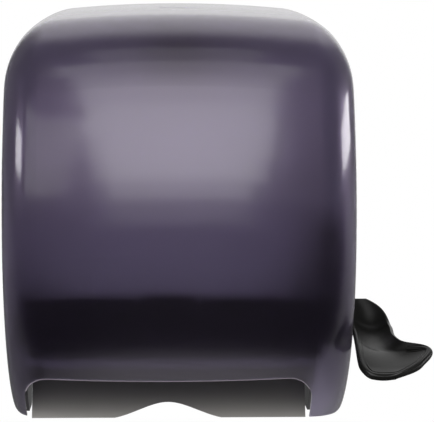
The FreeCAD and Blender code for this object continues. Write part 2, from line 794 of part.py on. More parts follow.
def module_cover():
    left = frame_left + module_play
    right = frame_right - module_play
    solid = frame_form(module_inset).common(
        block(left, right, feed_forward + bush_outer + bush_flange_step + 1, beyond, module_bottom,
              module_top))
    hollow = frame_form(module_inset + module_wall).common(
        block(left + module_wall, right - module_wall, 0, beyond, module_bottom + module_wall,
              module_top - module_wall))
    body = solid.cut(hollow)
    crest = frame_form(module_inset + module_wall).common(
        block(path_middle - 21, path_middle + 21, tie_forward, beyond, module_top, module_top + 1.6))
    body = body.fuse(crest)
    for offset in (22.6, 87.4, 104.5):
        for x in (path_middle - offset, path_middle + offset):
            body = body.cut(block(x - 1.2, x + 1.2, tie_forward - 2 * over, beyond, module_top - 4,
                                  module_top + 3))
    half = tie_size / 2
    play = module_play
    body = body.cut(block(left - 1, right + 1, 0, tie_forward + half + play, tie_height - half - play,
                          tie_height + half + play))
    for x in module_screw_places():
        boss = stud(5, x, tie_height, tie_forward + half, module_face(tie_height))
        body = body.fuse(boss)
        body = body.cut(stud(screw_shank, x, tie_height, tie_forward, beyond))
    return body.removeSplitter()


def module_screws():
    face = module_face(tie_height)
    depth = face - tie_forward + tie_size / 2
    return group([screw_forward(x, tie_height, face, depth) for x in module_screw_places()])


def tear_screw_places():
    return [(tear_forward - tear_tab + 5, tear_top - 6)]


def tear_bar():
    teeth = int((frame_width - 20) / tear_pitch)
    start = frame_middle - teeth * tear_pitch / 2
    corners = [(frame_left, tear_top, 0), (frame_left, tear_bottom + tear_depth, 0)]
    for index in range(teeth):
        x = start + index * tear_pitch
        corners.append((x, tear_bottom + tear_depth, 0))
        corners.append((x + tear_pitch / 2, tear_bottom, 0))
    corners.append((start + teeth * tear_pitch, tear_bottom + tear_depth, 0))
    corners += [(frame_right, tear_bottom + tear_depth, 0), (frame_right, tear_top, 0)]
    blade = front_plate(corners, tear_forward, tear_forward + tear_thick)
    for inner, sign in ((frame_left, 1), (frame_right, -1)):
        xs = sorted((inner, inner + sign * tear_thick))
        tab = block(xs[0], xs[1], tear_forward - tear_tab, tear_forward, tear_bottom + tear_depth, tear_top)
        blade = blade.fuse(tab)
        for forward, z in tear_screw_places():
            blade = blade.cut(rod(screw_shank * 0.75, xs[0] - 1, xs[1] + 1, forward, z))
    return blade.removeSplitter()


def tear_bar_screws():
    screws = []
    for inner, sign in ((frame_left, 1), (frame_right, -1)):
        for forward, z in tear_screw_places():
            face = inner + sign * tear_thick
            ends = sorted((face, face - sign * (tear_thick + frame_thick)))
            heads = sorted((face, face + sign * 1.2))
            screws.append(rod(screw_shank * 0.75, ends[0], ends[1], forward, z).fuse(
                rod(screw_shank * 1.3, heads[0], heads[1], forward, z)))
    return group(screws)


def feed_bush(sign):
    inner = frame_left if sign < 0 else frame_right
    xs = sorted((inner - sign * bush_flange, inner))
    flange = rod(bush_outer + bush_flange_step, xs[0], xs[1], feed_forward, axle_height)
    xs = sorted((inner, inner + sign * frame_thick))
    sleeve = rod(bush_outer, xs[0], xs[1], feed_forward, axle_height)
    bore = rod(feed_shaft + running_gap, inner - 10, inner + 10, feed_forward, axle_height)
    return fuse(flange, sleeve).cut(bore)


# ---- feed roller ----

def sleeve_spans():
    middle = sleeve_middle / 2
    start = middle + sleeve_space
    return [(path_middle - middle, path_middle + middle),
            (path_middle - start - sleeve_side, path_middle - start),
            (path_middle + start, path_middle + start + sleeve_side)]


def wheel_left():
    return frame_left - frame_thick - wheel_gap


def clip_start():
    return sector_start - 1 + pinion_width + 2 + 0.6


def feed_axle():
    return rod(feed_shaft, wheel_left() - wheel_thick, clip_start() + clip_thick + 0.6, feed_forward,
               axle_height)


def feed_cores():
    return group([ring(feed_core, feed_shaft, a, b, feed_forward, axle_height) for a, b in sleeve_spans()])


def feed_sleeves():
    return group([ring(feed_sleeve, feed_core, a, b, feed_forward, axle_height) for a, b in sleeve_spans()])


def feed_wheel():
    right = wheel_left()
    left = right - wheel_thick
    wheel = ring(wheel_radius, feed_shaft, left, right, feed_forward, axle_height)
    for index in range(wheel_grips):
        turn = 2 * math.pi * index / wheel_grips
        wheel = wheel.cut(rod(1.5, left - 1, right + 1, feed_forward + (wheel_radius + 0.6) * math.cos(turn),
                              axle_height + (wheel_radius + 0.6) * math.sin(turn)))
    dish = ring(wheel_radius - 3.5, feed_shaft + 2.5, left - 1, left + wheel_thick / 2, feed_forward,
                axle_height)
    return wheel.cut(dish)


def feed_clip():
    return ring(clip_radius, feed_shaft, clip_start(), clip_start() + clip_thick, feed_forward, axle_height)


# ---- pressure roller ----

def press_place():
    reach = feed_sleeve + paper_gap + press_roller
    turn = math.radians(press_angle)
    return feed_forward - reach * math.cos(turn), axle_height - reach * math.sin(turn)


def press_arm_spans():
    a = press_arm_space
    return [(path_middle - a - press_arm_thick, path_middle - a),
            (path_middle + a, path_middle + a + press_arm_thick)]


def press_seat():
    """Forward distance and height of the flat on an arm that its spring pushes."""
    forward, z = press_place()
    return forward - press_arm - 4, z + 2


def pressure_arms():
    forward, z = press_place()
    run = forward - press_pivot_forward
    rise = z - press_pivot_height
    length = math.hypot(run, rise)
    across = (-rise / length * press_arm, run / length * press_arm)
    arms = []
    for a, b in press_arm_spans():
        bar = side_plate([(press_pivot_forward + across[0], press_pivot_height + across[1], 0),
                          (forward + across[0], z + across[1], 0),
                          (forward - across[0], z - across[1], 0),
                          (press_pivot_forward - across[0], press_pivot_height - across[1], 0)], a, b)
        bar = bar.fuse(rod(press_arm, a, b, press_pivot_forward, press_pivot_height))
        bar = bar.fuse(rod(press_arm, a, b, forward, z))
        seat, height_there = press_seat()
        wide = press_spring + 1
        bar = bar.fuse(block(a, b, seat, forward, height_there - wide, height_there + wide))
        bar = bar.fuse(block((a + b) / 2 - wide, (a + b) / 2 + wide, seat, seat + 1.6, height_there - wide,
                             height_there + wide))
        bar = bar.cut(rod(press_shaft + running_gap, a - 1, b + 1, press_pivot_forward, press_pivot_height))
        bar = bar.cut(rod(press_shaft + running_gap, a - 1, b + 1, forward, z))
        arms.append(bar.removeSplitter())
    return group(arms)


def pressure_pivot():
    return rod(press_shaft, frame_left - frame_thick, frame_right + frame_thick, press_pivot_forward,
               press_pivot_height)


def pressure_axle():
    forward, z = press_place()
    spans = press_arm_spans()
    return rod(press_shaft, spans[0][0] - 2, spans[1][1] + 2, forward, z)


def pressure_rollers():
    forward, z = press_place()
    return group([ring(press_roller, press_shaft, a, b, forward, z) for a, b in sleeve_spans()])


def pressure_springs():
    seat, z = press_seat()
    start = web_forward + web_thick
    ahead = Vector(0, -1, 0)
    return group([coil(press_spring, spring_wire, seat - start, 9, point((a + b) / 2, start, z), ahead)
                  for a, b in press_arm_spans()])


# ---- roll arms ----

def arm_screw_places():
    left = roll_left - roll_play - arm_thick / 2
    right = roll_right + roll_play + arm_thick / 2
    return [(left + 9, roll_height - 14), (left + 9, roll_height + 14),
            (right + 11, roll_height - 16), (right - 11, roll_height + 16), (right - 11, roll_height - 16),
            (right + 11, roll_height + 16)]


def roll_arm_left():
    x1 = roll_left - roll_play
    x0 = x1 - arm_thick
    half = arm_width / 2
    arm = side_plate([(plate_thick, roll_height - half, 0), (plate_thick, roll_height + half, 0),
                      (roll_forward + half, roll_height + half, half - 0.5),
                      (roll_forward + half, roll_height - half, half - 0.5)], x0, x1)
    base = block(x0, x1 + 12, plate_thick, plate_thick + 3, roll_height - 20, roll_height + 20)
    rib = side_plate([(plate_thick + 3, roll_height - 3, 0), (plate_thick + 3, roll_height + 3, 0),
                      (80, roll_height + 1, 0), (80, roll_height - 1, 0)], x0 - 2, x0)
    body = fuse(arm, base, rib).cut(rod(spindle + running_gap, x0 - 5, x1 + 5, roll_forward, roll_height))
    for x, z in arm_screw_places()[:2]:
        body = body.cut(stud(screw_shank, x, z, 0, 20))
    return body.removeSplitter()


def knuckle_place():
    return roll_right + roll_play + arm_thick / 2 + knuckle_shift, plate_thick + 8


def roll_arm_right():
    x0 = roll_right + roll_play
    x1 = x0 + arm_thick
    x, forward = knuckle_place()
    half = arm_width / 2
    arm = side_plate([(forward, roll_height - half, 0), (forward, roll_height + half, 0),
                      (roll_forward + half, roll_height + half, half - 0.5),
                      (roll_forward + half, roll_height - half, half - 0.5)], x0, x1)
    body = arm.fuse(post(arm_knuckle, x, forward, roll_height - half, roll_height + half))
    body = body.cut(post(arm_pin + running_gap, x, forward, roll_height - half - 1, roll_height + half + 1))
    return body.cut(rod(spindle + running_gap, x0 - 5, x1 + 5, roll_forward, roll_height)).removeSplitter()


def spring_seat():
    """Sideways place of the spring's outer seat and forward distance of its axis."""
    return roll_right + roll_play + arm_thick + 11, 26.0


def arm_bracket():
    x, forward = knuckle_place()
    half = arm_width / 2 + knuckle_gap
    base = block(x - 15, x + 15, plate_thick, plate_thick + 2.4, roll_height - 22, roll_height + 22)
    body = base
    for low in (roll_height - half - ear_high, roll_height + half):
        ear = block(x - arm_knuckle, x + arm_knuckle, plate_thick, forward, low, low + ear_high)
        body = body.fuse(ear).fuse(post(arm_knuckle, x, forward, low, low + ear_high))
    seat_x, seat_forward = spring_seat()
    seat = block(seat_x, seat_x + 2, plate_thick, seat_forward + 7, roll_height - 8, roll_height + 8)
    body = body.fuse(seat).cut(post(arm_pin, x, forward, roll_height - 40, roll_height + 40))
    arm_face = roll_right + roll_play
    reach = forward + arm_knuckle + 6
    for sign in (-1, 1):
        for low, high, start in ((half, half + ear_high, plate_thick), (half - 5, half + 1, reach - 4)):
            ends = sorted((roll_height + sign * low, roll_height + sign * high))
            body = body.fuse(block(arm_face - stop_thick, arm_face, start, reach, *ends))
    for sx, z in arm_screw_places()[2:]:
        body = body.cut(stud(screw_shank, sx, z, 0, 20))
    return body.removeSplitter()


def arm_pin_post():
    x, forward = knuckle_place()
    half = arm_width / 2 + knuckle_gap + ear_high
    return post(arm_pin, x, forward, roll_height - half, roll_height + half)


def arm_spring():
    x0 = roll_right + roll_play + arm_thick
    seat_x, seat_forward = spring_seat()
    return coil(arm_spring_radius, spring_wire, seat_x - x0, 6, point(x0, seat_forward, roll_height),
                Vector(1, 0, 0))


def arm_screws():
    faces = [plate_thick + 3] * 2 + [plate_thick + 2.4] * 4
    return group([screw_forward(x, z, face, face - 1) for (x, z), face in zip(arm_screw_places(), faces)])


def roll_hub(sign):
    """A hub that the roll's core turns on; sign is the side of the roll it holds."""
    arm_face = (roll_left - roll_play) if sign < 0 else (roll_right + roll_play)
    face = arm_face - sign * hub_gap
    nose = face - sign * hub_length
    drum_end = face - sign * (hub_length - 5)
    xs = sorted((face, drum_end))
    drum = rod(hub_radius, xs[0], xs[1], roll_forward, roll_height)
    cone = Part.makeCone(hub_radius, hub_nose, 5, point(drum_end, roll_forward, roll_height),
                         Vector(-sign, 0, 0))
    far = arm_face + sign * (arm_thick + clip_thick + 1.2)
    xs = sorted((face, far))
    pin = rod(spindle, xs[0], xs[1], roll_forward, roll_height)
    xs = sorted((nose, nose + sign * 9))
    hollow = rod(hub_nose - 3, xs[0], xs[1], roll_forward, roll_height)
    return fuse(drum, cone, pin).cut(hollow)


def hub_clip(sign):
    arm_face = (roll_left - roll_play) if sign < 0 else (roll_right + roll_play)
    start = arm_face + sign * (arm_thick + 0.3)
    xs = sorted((start, start + sign * clip_thick))
    return ring(clip_radius, spindle, xs[0], xs[1], roll_forward, roll_height)


# ---- gears ----

def tooth_half_angle(pitch, base, radius, teeth):
    """Half the angle of an involute tooth's width at a radius."""
    def involute(angle):
        return math.tan(angle) - angle
    at_pitch = math.pi / (2 * teeth) - backlash / (4 * pitch)
    return at_pitch + involute(math.radians(pressure_angle)) - involute(math.acos(base / radius))


def gear_tooth(teeth, middle, centre, x0, x1):
    """One tooth about the angle middle (radians), sunk a little into the blank."""
    pitch = gear_module * teeth / 2
    base = pitch * math.cos(math.radians(pressure_angle))
    tip = pitch + tooth_tip * gear_module
    root = pitch - tooth_root * gear_module
    start = max(base, root) + 0.01
    steps = 6
    radii = [start + (tip - start) * index / (steps - 1) for index in range(steps)]

    def place(radius, angle):
        return point(x0, centre[0] + radius * math.cos(angle), centre[1] + radius * math.sin(angle))
    sides = []
    for sign in (-1, 1):
        points = [place(r, middle + sign * tooth_half_angle(pitch, base, r, teeth)) for r in radii]
        flank = Part.BSplineCurve()
        flank.interpolate(points)
        sides.append((points, flank.toShape()))
    low = root - 0.6
    half = tooth_half_angle(pitch, base, start, teeth)
    low_points = [place(low, middle - half), place(low, middle + half)]
    left, right = sides
    tip_arc = Part.Arc(left[0][-1], place(tip, middle), right[0][-1]).toShape()
    edges = [left[1], tip_arc, right[1],
             Part.LineSegment(right[0][0], low_points[1]).toShape(),
             Part.LineSegment(low_points[1], low_points[0]).toShape(),
             Part.LineSegment(low_points[0], left[0][0]).toShape()]
    face = Part.Face(Part.Wire(Part.__sortEdges__(edges)))
    return face.extrude(Vector(x1 - x0, 0, 0))


def sector_gear():
    centre = (lever_forward, axle_height)
    x0 = sector_start
    x1 = x0 + sector_width
    root = wheel_pitch - tooth_root * gear_module

    def spoke(radius, angle):
        turn = math.radians(angle)
        return (centre[0] + radius * math.cos(turn), centre[1] + radius * math.sin(turn), 0)
    far = wheel_pitch * 1.6
    wedge = side_plate([spoke(0, 0), spoke(far, sector_low), spoke(far, sector_high)], x0, x1)
    rim = rod(root, x0, x1, *centre).common(wedge)
    window = ring(root - sector_rim, sector_hub + sector_rim, x0 - 1, x1 + 1, *centre)
    for low, high in ((sector_low + 6, sector_low_end), (sector_high_start, sector_high - 6)):
        gap = side_plate([spoke(2, (low + high) / 2), spoke(far, low), spoke(far, high)], x0 - 1, x1 + 1)
        rim = rim.cut(window.common(gap))
    pitch_step = 360.0 / wheel_teeth
    first = math.ceil(sector_low / pitch_step) + 0.5
    count = int((sector_high - sector_low) / pitch_step - 0.5)
    body = rim
    for index in range(count):
        middle = math.radians((first + index) * pitch_step)
        body = body.fuse(gear_tooth(wheel_teeth, middle, centre, x0, x1))
    body = body.fuse(rod(sector_hub, frame_outer + 1.7, x1 + sector_hub_end, *centre))
    return body.cut(rod(lever_shaft, x0 - 20, x1 + 20, *centre)).removeSplitter()


def pinion():
    centre = (feed_forward, axle_height)
    x0 = sector_start - 1
    x1 = x0 + pinion_width
    root = pinion_pitch - tooth_root * gear_module
    body = rod(root, x0, x1, *centre)
    for index in range(pinion_teeth):
        middle = math.pi + 2 * math.pi * index / pinion_teeth
        body = body.fuse(gear_tooth(pinion_teeth, middle, centre, x0, x1))
    body = body.fuse(rod(pinion_collar, x1, x1 + 2, *centre))
    return body.cut(rod(feed_shaft + running_gap + clutch_wall, x0 - 1, x1 + 3, *centre)).removeSplitter()


def one_way_clutch():
    x0 = sector_start - 1
    return ring(feed_shaft + running_gap + clutch_wall, feed_shaft + running_gap, x0, x0 + pinion_width + 2,
                feed_forward, axle_height)


def case_corners():
    low = axle_height - case_low
    high = axle_height + wheel_pitch + gear_module + case_high
    back = lever_forward - case_back
    front = feed_forward + case_front
    return [(back, low, 0), (back, axle_height + case_shoulder, 10),
            (lever_forward + wheel_pitch * 0.222, high, 12), (lever_forward + wheel_pitch * 0.833, high, 14),
            (front, axle_height + case_shoulder, 14), (front, low, 9)]


def case_screw_places():
    return [(lever_forward - case_back + 5, axle_height - case_low + 7),
            (lever_forward + wheel_pitch / 3, axle_height + wheel_pitch + gear_module + case_high - 5),
            (feed_forward + case_front - 8, axle_height + case_shoulder - 9)]


def case_block():
    return side_plate(case_corners(), frame_outer, case_outer)


def gear_case():
    outline = rounded_face(case_corners(), lambda forward, z: point(frame_outer, forward, z))
    hollow = Part.Face(outline.OuterWire.makeOffset2D(-case_wall))
    depth = case_outer - frame_outer
    body = outline.extrude(Vector(depth, 0, 0)).cut(hollow.extrude(Vector(depth - case_wall, 0, 0)))
    low = axle_height - case_low
    body = body.cut(block(frame_outer, case_outer - case_wall, lever_forward - case_back + case_wall,
                          feed_forward + 5, low - 1, low + case_wall + 1))
    for forward, z in case_screw_places():
        body = body.fuse(rod(4, frame_outer, case_outer - case_wall, forward, z))
        body = body.cut(rod(screw_shank, frame_outer - 1, case_outer + 1, forward, z))
    body = body.cut(rod(lever_bush, frame_outer, case_outer + 1, lever_forward, axle_height))
    return body.removeSplitter()


def gear_case_screws():
    depth = case_depth + frame_thick
    return group([screw_sideways(case_outer, forward, z, depth, 1) for forward, z in case_screw_places()])


def notch_filler():
    """Closes the cover's notch round the lever's bush, with an even gap."""
    outer = side_at(axle_height) - 0.7
    plug = notch(notch_clearance - filler_clearance, rim_reach, case_outer, outer)
    return plug.cut(rod(lever_bush, case_outer - 1, outer + 1, lever_forward, axle_height))


def lever_inner_face():
    return side_at(axle_height) + lever_gap + 1.2


def lever_bushes():
    flange = lever_bush + 3
    inner = fuse(rod(flange, frame_right - bush_flange, frame_right, lever_forward, axle_height),
                 rod(lever_bush, frame_right, frame_outer, lever_forward, axle_height))
    start = case_outer - case_wall
    outer = fuse(rod(flange, start - bush_flange, start, lever_forward, axle_height),
                 rod(lever_bush, start, lever_inner_face() - 0.5, lever_forward, axle_height))
    bore = rod(lever_shaft + running_gap, frame_right - over, beyond, lever_forward, axle_height)
    return inner.cut(bore), outer.cut(bore)


def lever_axle():
    return rod(lever_shaft, frame_right - bush_flange - 0.5, lever_inner_face() + lever_grip, lever_forward,
               axle_height)


def lever_spring():
    """A flat spiral spring round the sector's hub, beside the teeth."""
    x0 = sector_start + sector_width + spiral_gap / 4
    steps = 16 * spiral_turns

    def spiral(offset):
        points = []
        for index in range(steps + 1):
            turns = spiral_turns * index / steps
            radius = sector_hub + spiral_gap + spiral_pitch * turns + offset
            turn = 2 * math.pi * turns
            points.append(point(x0, lever_forward + radius * math.cos(turn),
                                axle_height + radius * math.sin(turn)))
        curve = Part.BSplineCurve()
        curve.interpolate(points)
        return curve.toShape(), points
    inner, inner_points = spiral(0.0)
    outer, outer_points = spiral(spiral_strip)
    ends = [Part.LineSegment(inner_points[i], outer_points[i]).toShape() for i in (0, -1)]
    face = Part.Face(Part.Wire(Part.__sortEdges__([inner, outer] + ends)))
    return face.extrude(Vector(spiral_width, 0, 0))


# ---- lever ----

def leaf_stations():
    """Along the leaf: ahead of and above its axis, left and right edge, dish, thickness."""
    shares = [(0.1092, 0.3771, 0.0662, 0.2483, 0.043, 0.464),
              (0.1176, 0.1955, 0.0265, 0.4222, 0.229, 0.821),
              (0.1387, -0.0419, 0.0166, 0.5132, 0.429, 0.964),
              (0.2017, -0.2793, 0.0166, 0.5480, 0.657, 1.000),
              (0.3193, -0.3911, 0.0166, 0.5600, 0.800, 1.000),
              (0.4706, -0.5028, 0.0166, 0.5580, 0.914, 1.000),
              (0.5546, -0.5680, 0.0130, 0.5950, 0.964, 1.000),
              (0.6218, -0.6285, 0.0100, 0.6950, 1.000, 1.000),
              (0.6640, -0.6690, 0.0080, 0.9100, 0.985, 0.990),
              (0.7395, -0.7402, 0.0060, 0.9820, 0.914, 0.964),
              (0.8571, -0.8659, 0.0100, 0.8550, 0.657, 0.893),
              (0.9496, -0.9553, 0.0600, 0.6600, 0.343, 0.750),
              (1.0000, -1.0000, 0.1900, 0.4750, 0.057, 0.464)]
    sizes = (leaf_length, leaf_drop, leaf_width, leaf_width, leaf_dish, leaf_thick)
    return [tuple(size * share for size, share in zip(sizes, row)) for row in shares]


def leaf_section(station, before, after):
    """A crescent across the leaf, square to the line from the station before to the one after."""
    ahead, above, left, right, dish, thick = station
    run = after[0] - before[0]
    rise = after[1] - before[1]
    length = math.hypot(run, rise)
    x0 = lever_inner_face()

    def place(x, lift):
        return point(x0 + x, lever_forward + ahead - lift * rise / length,
                     axle_height + above + lift * run / length)
    half = (right - left - thick) / 2
    middle = (left + right) / 2
    sides = []
    for offset in (thick / 2, -thick / 2):
        curve = Part.BSplineCurve()
        curve.interpolate([place(middle + half * t, dish * t * t + offset)
                           for t in (-1, -0.6, -0.2, 0.2, 0.6, 1)])
        sides.append(curve.toShape())
    ends = []
    for sign in (-1, 1):
        x = middle + sign * half
        ends.append(Part.Arc(place(x, dish + thick / 2), place(x + sign * thick / 2, dish),
                             place(x, dish - thick / 2)).toShape())
    return Part.Wire(Part.__sortEdges__([sides[0], ends[1], sides[1], ends[0]]))


def lever():
    x0 = lever_inner_face()
    stations = leaf_stations()
    last = len(stations) - 1
    wires = [leaf_section(station, stations[max(index - 1, 0)], stations[min(index + 1, last)])
             for index, station in enumerate(stations)]
    leaf = Part.makeLoft(wires, True, False)
    hub = rod(lever_hub, x0, x0 + lever_hub_length, lever_forward, axle_height)
    rims = [edge for edge in hub.Edges if edge.BoundBox.XMin > x0 + 1]
    hub = hub.makeFillet(lever_hub_round, rims)
    web = side_plate([(lever_forward, axle_height + lever_hub - 0.5, 0),
                      (lever_forward + 13, axle_height + lever_hub - 0.5, 0),
                      (lever_forward + 17, axle_height - 3, 0), (lever_forward + 26, axle_height - 12, 0),
                      (lever_forward, axle_height - lever_hub + 0.5, 0)], x0 + 1.5,
                     x0 + lever_hub_length - lever_hub_round)
    body = leaf.fuse(hub).fuse(web)
    shaft = rod(lever_shaft, x0 - 1, x0 + lever_grip, lever_forward, axle_height)
    grub = post(grub_radius, x0 + lever_grip / 2, lever_forward, axle_height - lever_hub - 1,
                axle_height - lever_shaft)
    return body.cut(shaft).cut(grub)


def lever_set_screw():
    x0 = lever_inner_face()
    return post(grub_radius, x0 + lever_grip / 2, lever_forward, axle_height - lever_hub + 0.8,
                axle_height - lever_shaft)


def build():
    os.makedirs("parts", exist_ok=True)
    pins = hinge_pins()
    bushes = lever_bushes()
    nodes = {
        "front_cover": front_cover(),
        "latch_guide": latch_guide(),
        "latch": latch(),
        "latch_springs": latch_springs(),
        "latch_strike": latch_strike(),
        "strike_screws": group([screw_forward(x, z, plate_thick + strike_base, plate_thick + 2)
                                for x, z in strike_screw_places()]),
        "back_plate": back_plate(),
        "hinge_pin_left": pins[0],
        "hinge_pin_right": pins[1],
        "side_frame_left": side_frame(-1),
        "side_frame_right": side_frame(1),
        "frame_screws": frame_screws(),
        "feed_frame": feed_frame(),
        "tie_bar": tie_bar(),
        "paper_chute": paper_chute(),
        "module_cover": module_cover(),
        "module_screws": module_screws(),
        "tear_bar": tear_bar(),
        "tear_bar_screws": tear_bar_screws(),
        "feed_bush_left": feed_bush(-1),
        "feed_bush_right": feed_bush(1),
        "feed_axle": feed_axle(),
        "feed_cores": feed_cores(),
        "feed_sleeves": feed_sleeves(),
        "feed_wheel": feed_wheel(),
        "feed_clip": feed_clip(),
        "pressure_arms": pressure_arms(),
        "pressure_pivot": pressure_pivot(),
        "pressure_axle": pressure_axle(),
        "pressure_rollers": pressure_rollers(),
        "pressure_springs": pressure_springs(),
        "roll_arm_left": roll_arm_left(),
        "roll_arm_right": roll_arm_right(),
        "arm_bracket": arm_bracket(),
        "arm_pin": arm_pin_post(),
        "arm_spring": arm_spring(),
        "arm_screws": arm_screws(),
        "roll_hub_left": roll_hub(-1),
        "roll_hub_right": roll_hub(1),
        "hub_clip_left": hub_clip(-1),
        "hub_clip_right": hub_clip(1),
        "gear_case": gear_case(),
        "gear_case_screws": gear_case_screws(),
        "notch_filler": notch_filler(),
        "lever_bush_inner": bushes[0],
        "lever_bush_outer": bushes[1],
        "lever_axle": lever_axle(),
        "sector_gear": sector_gear(),
        "lever_spring": lever_spring(),
        "pinion": pinion(),
        "one_way_clutch": one_way_clutch(),
        "lever": lever(),
        "lever_set_screw": lever_set_screw(),
    }
    for name, shape in nodes.items():
        shape.exportStep(f"parts/{name}.step")
        print(name, shape.isValid(), len(shape.Solids), round(shape.Volume, 1))


if __name__ == "__main__":
    build()
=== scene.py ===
import math

import bmesh
import bpy
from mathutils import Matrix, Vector
from mathutils.bvhtree import BVHTree


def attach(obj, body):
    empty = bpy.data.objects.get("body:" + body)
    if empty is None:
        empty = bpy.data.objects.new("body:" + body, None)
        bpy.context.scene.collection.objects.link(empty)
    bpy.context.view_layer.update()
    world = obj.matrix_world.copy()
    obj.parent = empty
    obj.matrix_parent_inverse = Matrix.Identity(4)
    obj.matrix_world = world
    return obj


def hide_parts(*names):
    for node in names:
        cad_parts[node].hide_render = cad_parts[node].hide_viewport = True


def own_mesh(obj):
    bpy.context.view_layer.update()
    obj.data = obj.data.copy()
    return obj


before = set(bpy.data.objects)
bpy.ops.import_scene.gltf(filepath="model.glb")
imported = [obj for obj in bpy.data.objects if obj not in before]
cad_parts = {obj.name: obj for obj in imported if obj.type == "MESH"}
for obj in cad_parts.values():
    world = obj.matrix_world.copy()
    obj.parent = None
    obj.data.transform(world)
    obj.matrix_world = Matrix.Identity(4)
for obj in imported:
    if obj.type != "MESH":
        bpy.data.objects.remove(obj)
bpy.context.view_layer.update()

print("frame loaded:", len(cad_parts), "parts")

mm = 0.001


class Wire:
    # one output socket; arithmetic on it adds Math nodes to its own tree
    def __init__(self, board, socket):
        self.board, self.socket = board, socket

    def calc(self, operation, *values):
        return self.board.add("ShaderNodeMath", {"operation": operation}, dict(enumerate(values)))

    def __add__(self, other):
        return self.calc("ADD", self, other)

    def __sub__(self, other):
        return self.calc("SUBTRACT", self, other)

    def __rsub__(self, other):
        return self.calc("SUBTRACT", other, self)

    def __mul__(self, other):
        return self.calc("MULTIPLY", self, other)

    def __rmul__(self, other):
        return self.calc("MULTIPLY", other, self)

    def __pow__(self, other):
        return self.calc("POWER", self, other)


class Board:
    # a node tree while it is wired
    def __init__(self, tree):
        self.tree = tree
        tree.nodes.clear()

    def add(self, kind, settings=None, inputs=None, out=0):
        node = self.tree.nodes.new(kind)
        for name, value in (settings or {}).items():
            setattr(node, name, value)
        for name, value in (inputs or {}).items():
            if isinstance(value, Wire):
                self.tree.links.new(value.socket, node.inputs[name])
            else:
                node.inputs[name].default_value = value
        return Wire(self, node.outputs[out]) if len(node.outputs) else node


def colour(red, green, blue):
    return (red, green, blue, 1.0)


def grey(level):
    return colour(level, level, level)


def shaded(base, factor):
    return colour(*(min(1.0, part * factor) for part in base))


def newMaterial(name):
    # a material, the board for its nodes and the object's own coordinates
    material = bpy.data.materials.new(name)
    material.use_nodes = True
    board = Board(material.node_tree)
    return material, board, board.add("ShaderNodeTexCoord", out="Object")


def surfaced(material, board, shader):
    board.add("ShaderNodeOutputMaterial", {}, {"Surface": shader})
    return material


def principled(board, inputs):
    return board.add("ShaderNodeBsdfPrincipled", {}, inputs)


def noise(board, place, scale, detail=2.0):
    return board.add("ShaderNodeTexNoise", {}, {"Vector": place, "Scale": scale, "Detail": detail, "Roughness": 0.5})


def blend(board, share, low, high):
    return board.add("ShaderNodeMix", {"data_type": "RGBA"}, {0: share, 6: low, 7: high}, out=2)


def bumped(board, height, strength, depth):
    return board.add("ShaderNodeBump", {}, {"Height": height, "Strength": strength, "Distance": depth * mm})


def axis(board, place, index):
    return board.add("ShaderNodeSeparateXYZ", {}, {0: place}, out=index)


def ramp(board, value, low, high, fromLevel, toLevel, kind="LINEAR"):
    return board.add("ShaderNodeMapRange", {"interpolation_type": kind}, {
        0: value, 1: low, 2: high, 3: fromLevel, 4: toLevel})


def smooth(board, value, levels):
    return ramp(board, value, *levels, kind="SMOOTHSTEP")


# plastics: colour and how far it wanders, roughness and its spread, size and depth of the grain (mm), shine
plasticLooks = {
    "leverBlack": dict(base=(0.010, 0.010, 0.0095), drift=0.30, rough=0.34, spread=0.06, grain=0.45,
                       depth=0.012, shine=0.18),
    "moduleBlack": dict(base=(0.045, 0.042, 0.045), drift=0.30, rough=0.42, spread=0.08, grain=0.60,
                        depth=0.015, shine=0.5),
    "caseBlack": dict(base=(0.014, 0.014, 0.016), drift=0.30, rough=0.45, spread=0.08, grain=0.60,
                      depth=0.015, shine=0.5),
    # the chute's dark base is painted shade under the cover's lip, and its paler lower edge is painted light
    "chuteGrey": dict(base=(0.040, 0.038, 0.036), paintedLit=(0.36, 0.35, 0.33), drift=0.08, rough=0.30,
                      spread=0.06, grain=0.70, depth=0.012, shine=0.5),
    "backGrey": dict(base=(0.72, 0.72, 0.73), drift=0.06, rough=0.50, spread=0.06, grain=0.80,
                     depth=0.015, shine=0.5),
    "armGrey": dict(base=(0.50, 0.50, 0.51), drift=0.15, rough=0.45, spread=0.06, grain=0.60,
                    depth=0.012, shine=0.5),
    "naturalNylon": dict(base=(0.62, 0.59, 0.50), drift=0.06, rough=0.42, spread=0.08, grain=0.50,
                         depth=0.008, shine=0.5),
}
plasticGrain = dict(cloud=14.0, speck=520.0, speckShare=0.10, mottle=60.0, strength=0.6)
# painted light and shade: where the paper runs, a plastic is painted paler towards its lower edge as if lit there,
# over a base left dark as painted shade under the cover's lip (m)
paintedLightEdge = dict(start=-0.133, end=-0.163, fall=2.6, least=0.8, wander=0.4)


def plastic(name):
    look, grain, edge = plasticLooks[name], plasticGrain, paintedLightEdge
    material, board, place = newMaterial(name)
    cloud = noise(board, place, grain["cloud"], 3.0)
    speck = noise(board, place, grain["speck"] / look["grain"])
    shade = (cloud - 0.5) * look["drift"] + (speck - 0.5) * grain["speckShare"] + 0.5
    tint = blend(board, shade, shaded(look["base"], 1 - look["drift"]), shaded(look["base"], 1 + look["drift"]))
    # painted light: paler towards the lower edge, the rest left dark as painted shade
    if "paintedLit" in look:
        paintedLitShare = ramp(board, axis(board, place, 2), edge["start"], edge["end"], 0.0, 1.0) ** edge["fall"]
        tint = blend(board, paintedLitShare * (cloud * edge["wander"] + edge["least"]), tint, colour(*look["paintedLit"]))
    rough = (noise(board, place, grain["mottle"], 4.0) - 0.5) * look["spread"] + look["rough"]
    return surfaced(material, board, principled(board, {
        "Base Color": tint, "Roughness": rough, "Normal": bumped(board, speck, grain["strength"], look["depth"]),
        "Specular IOR Level": look["shine"]}))


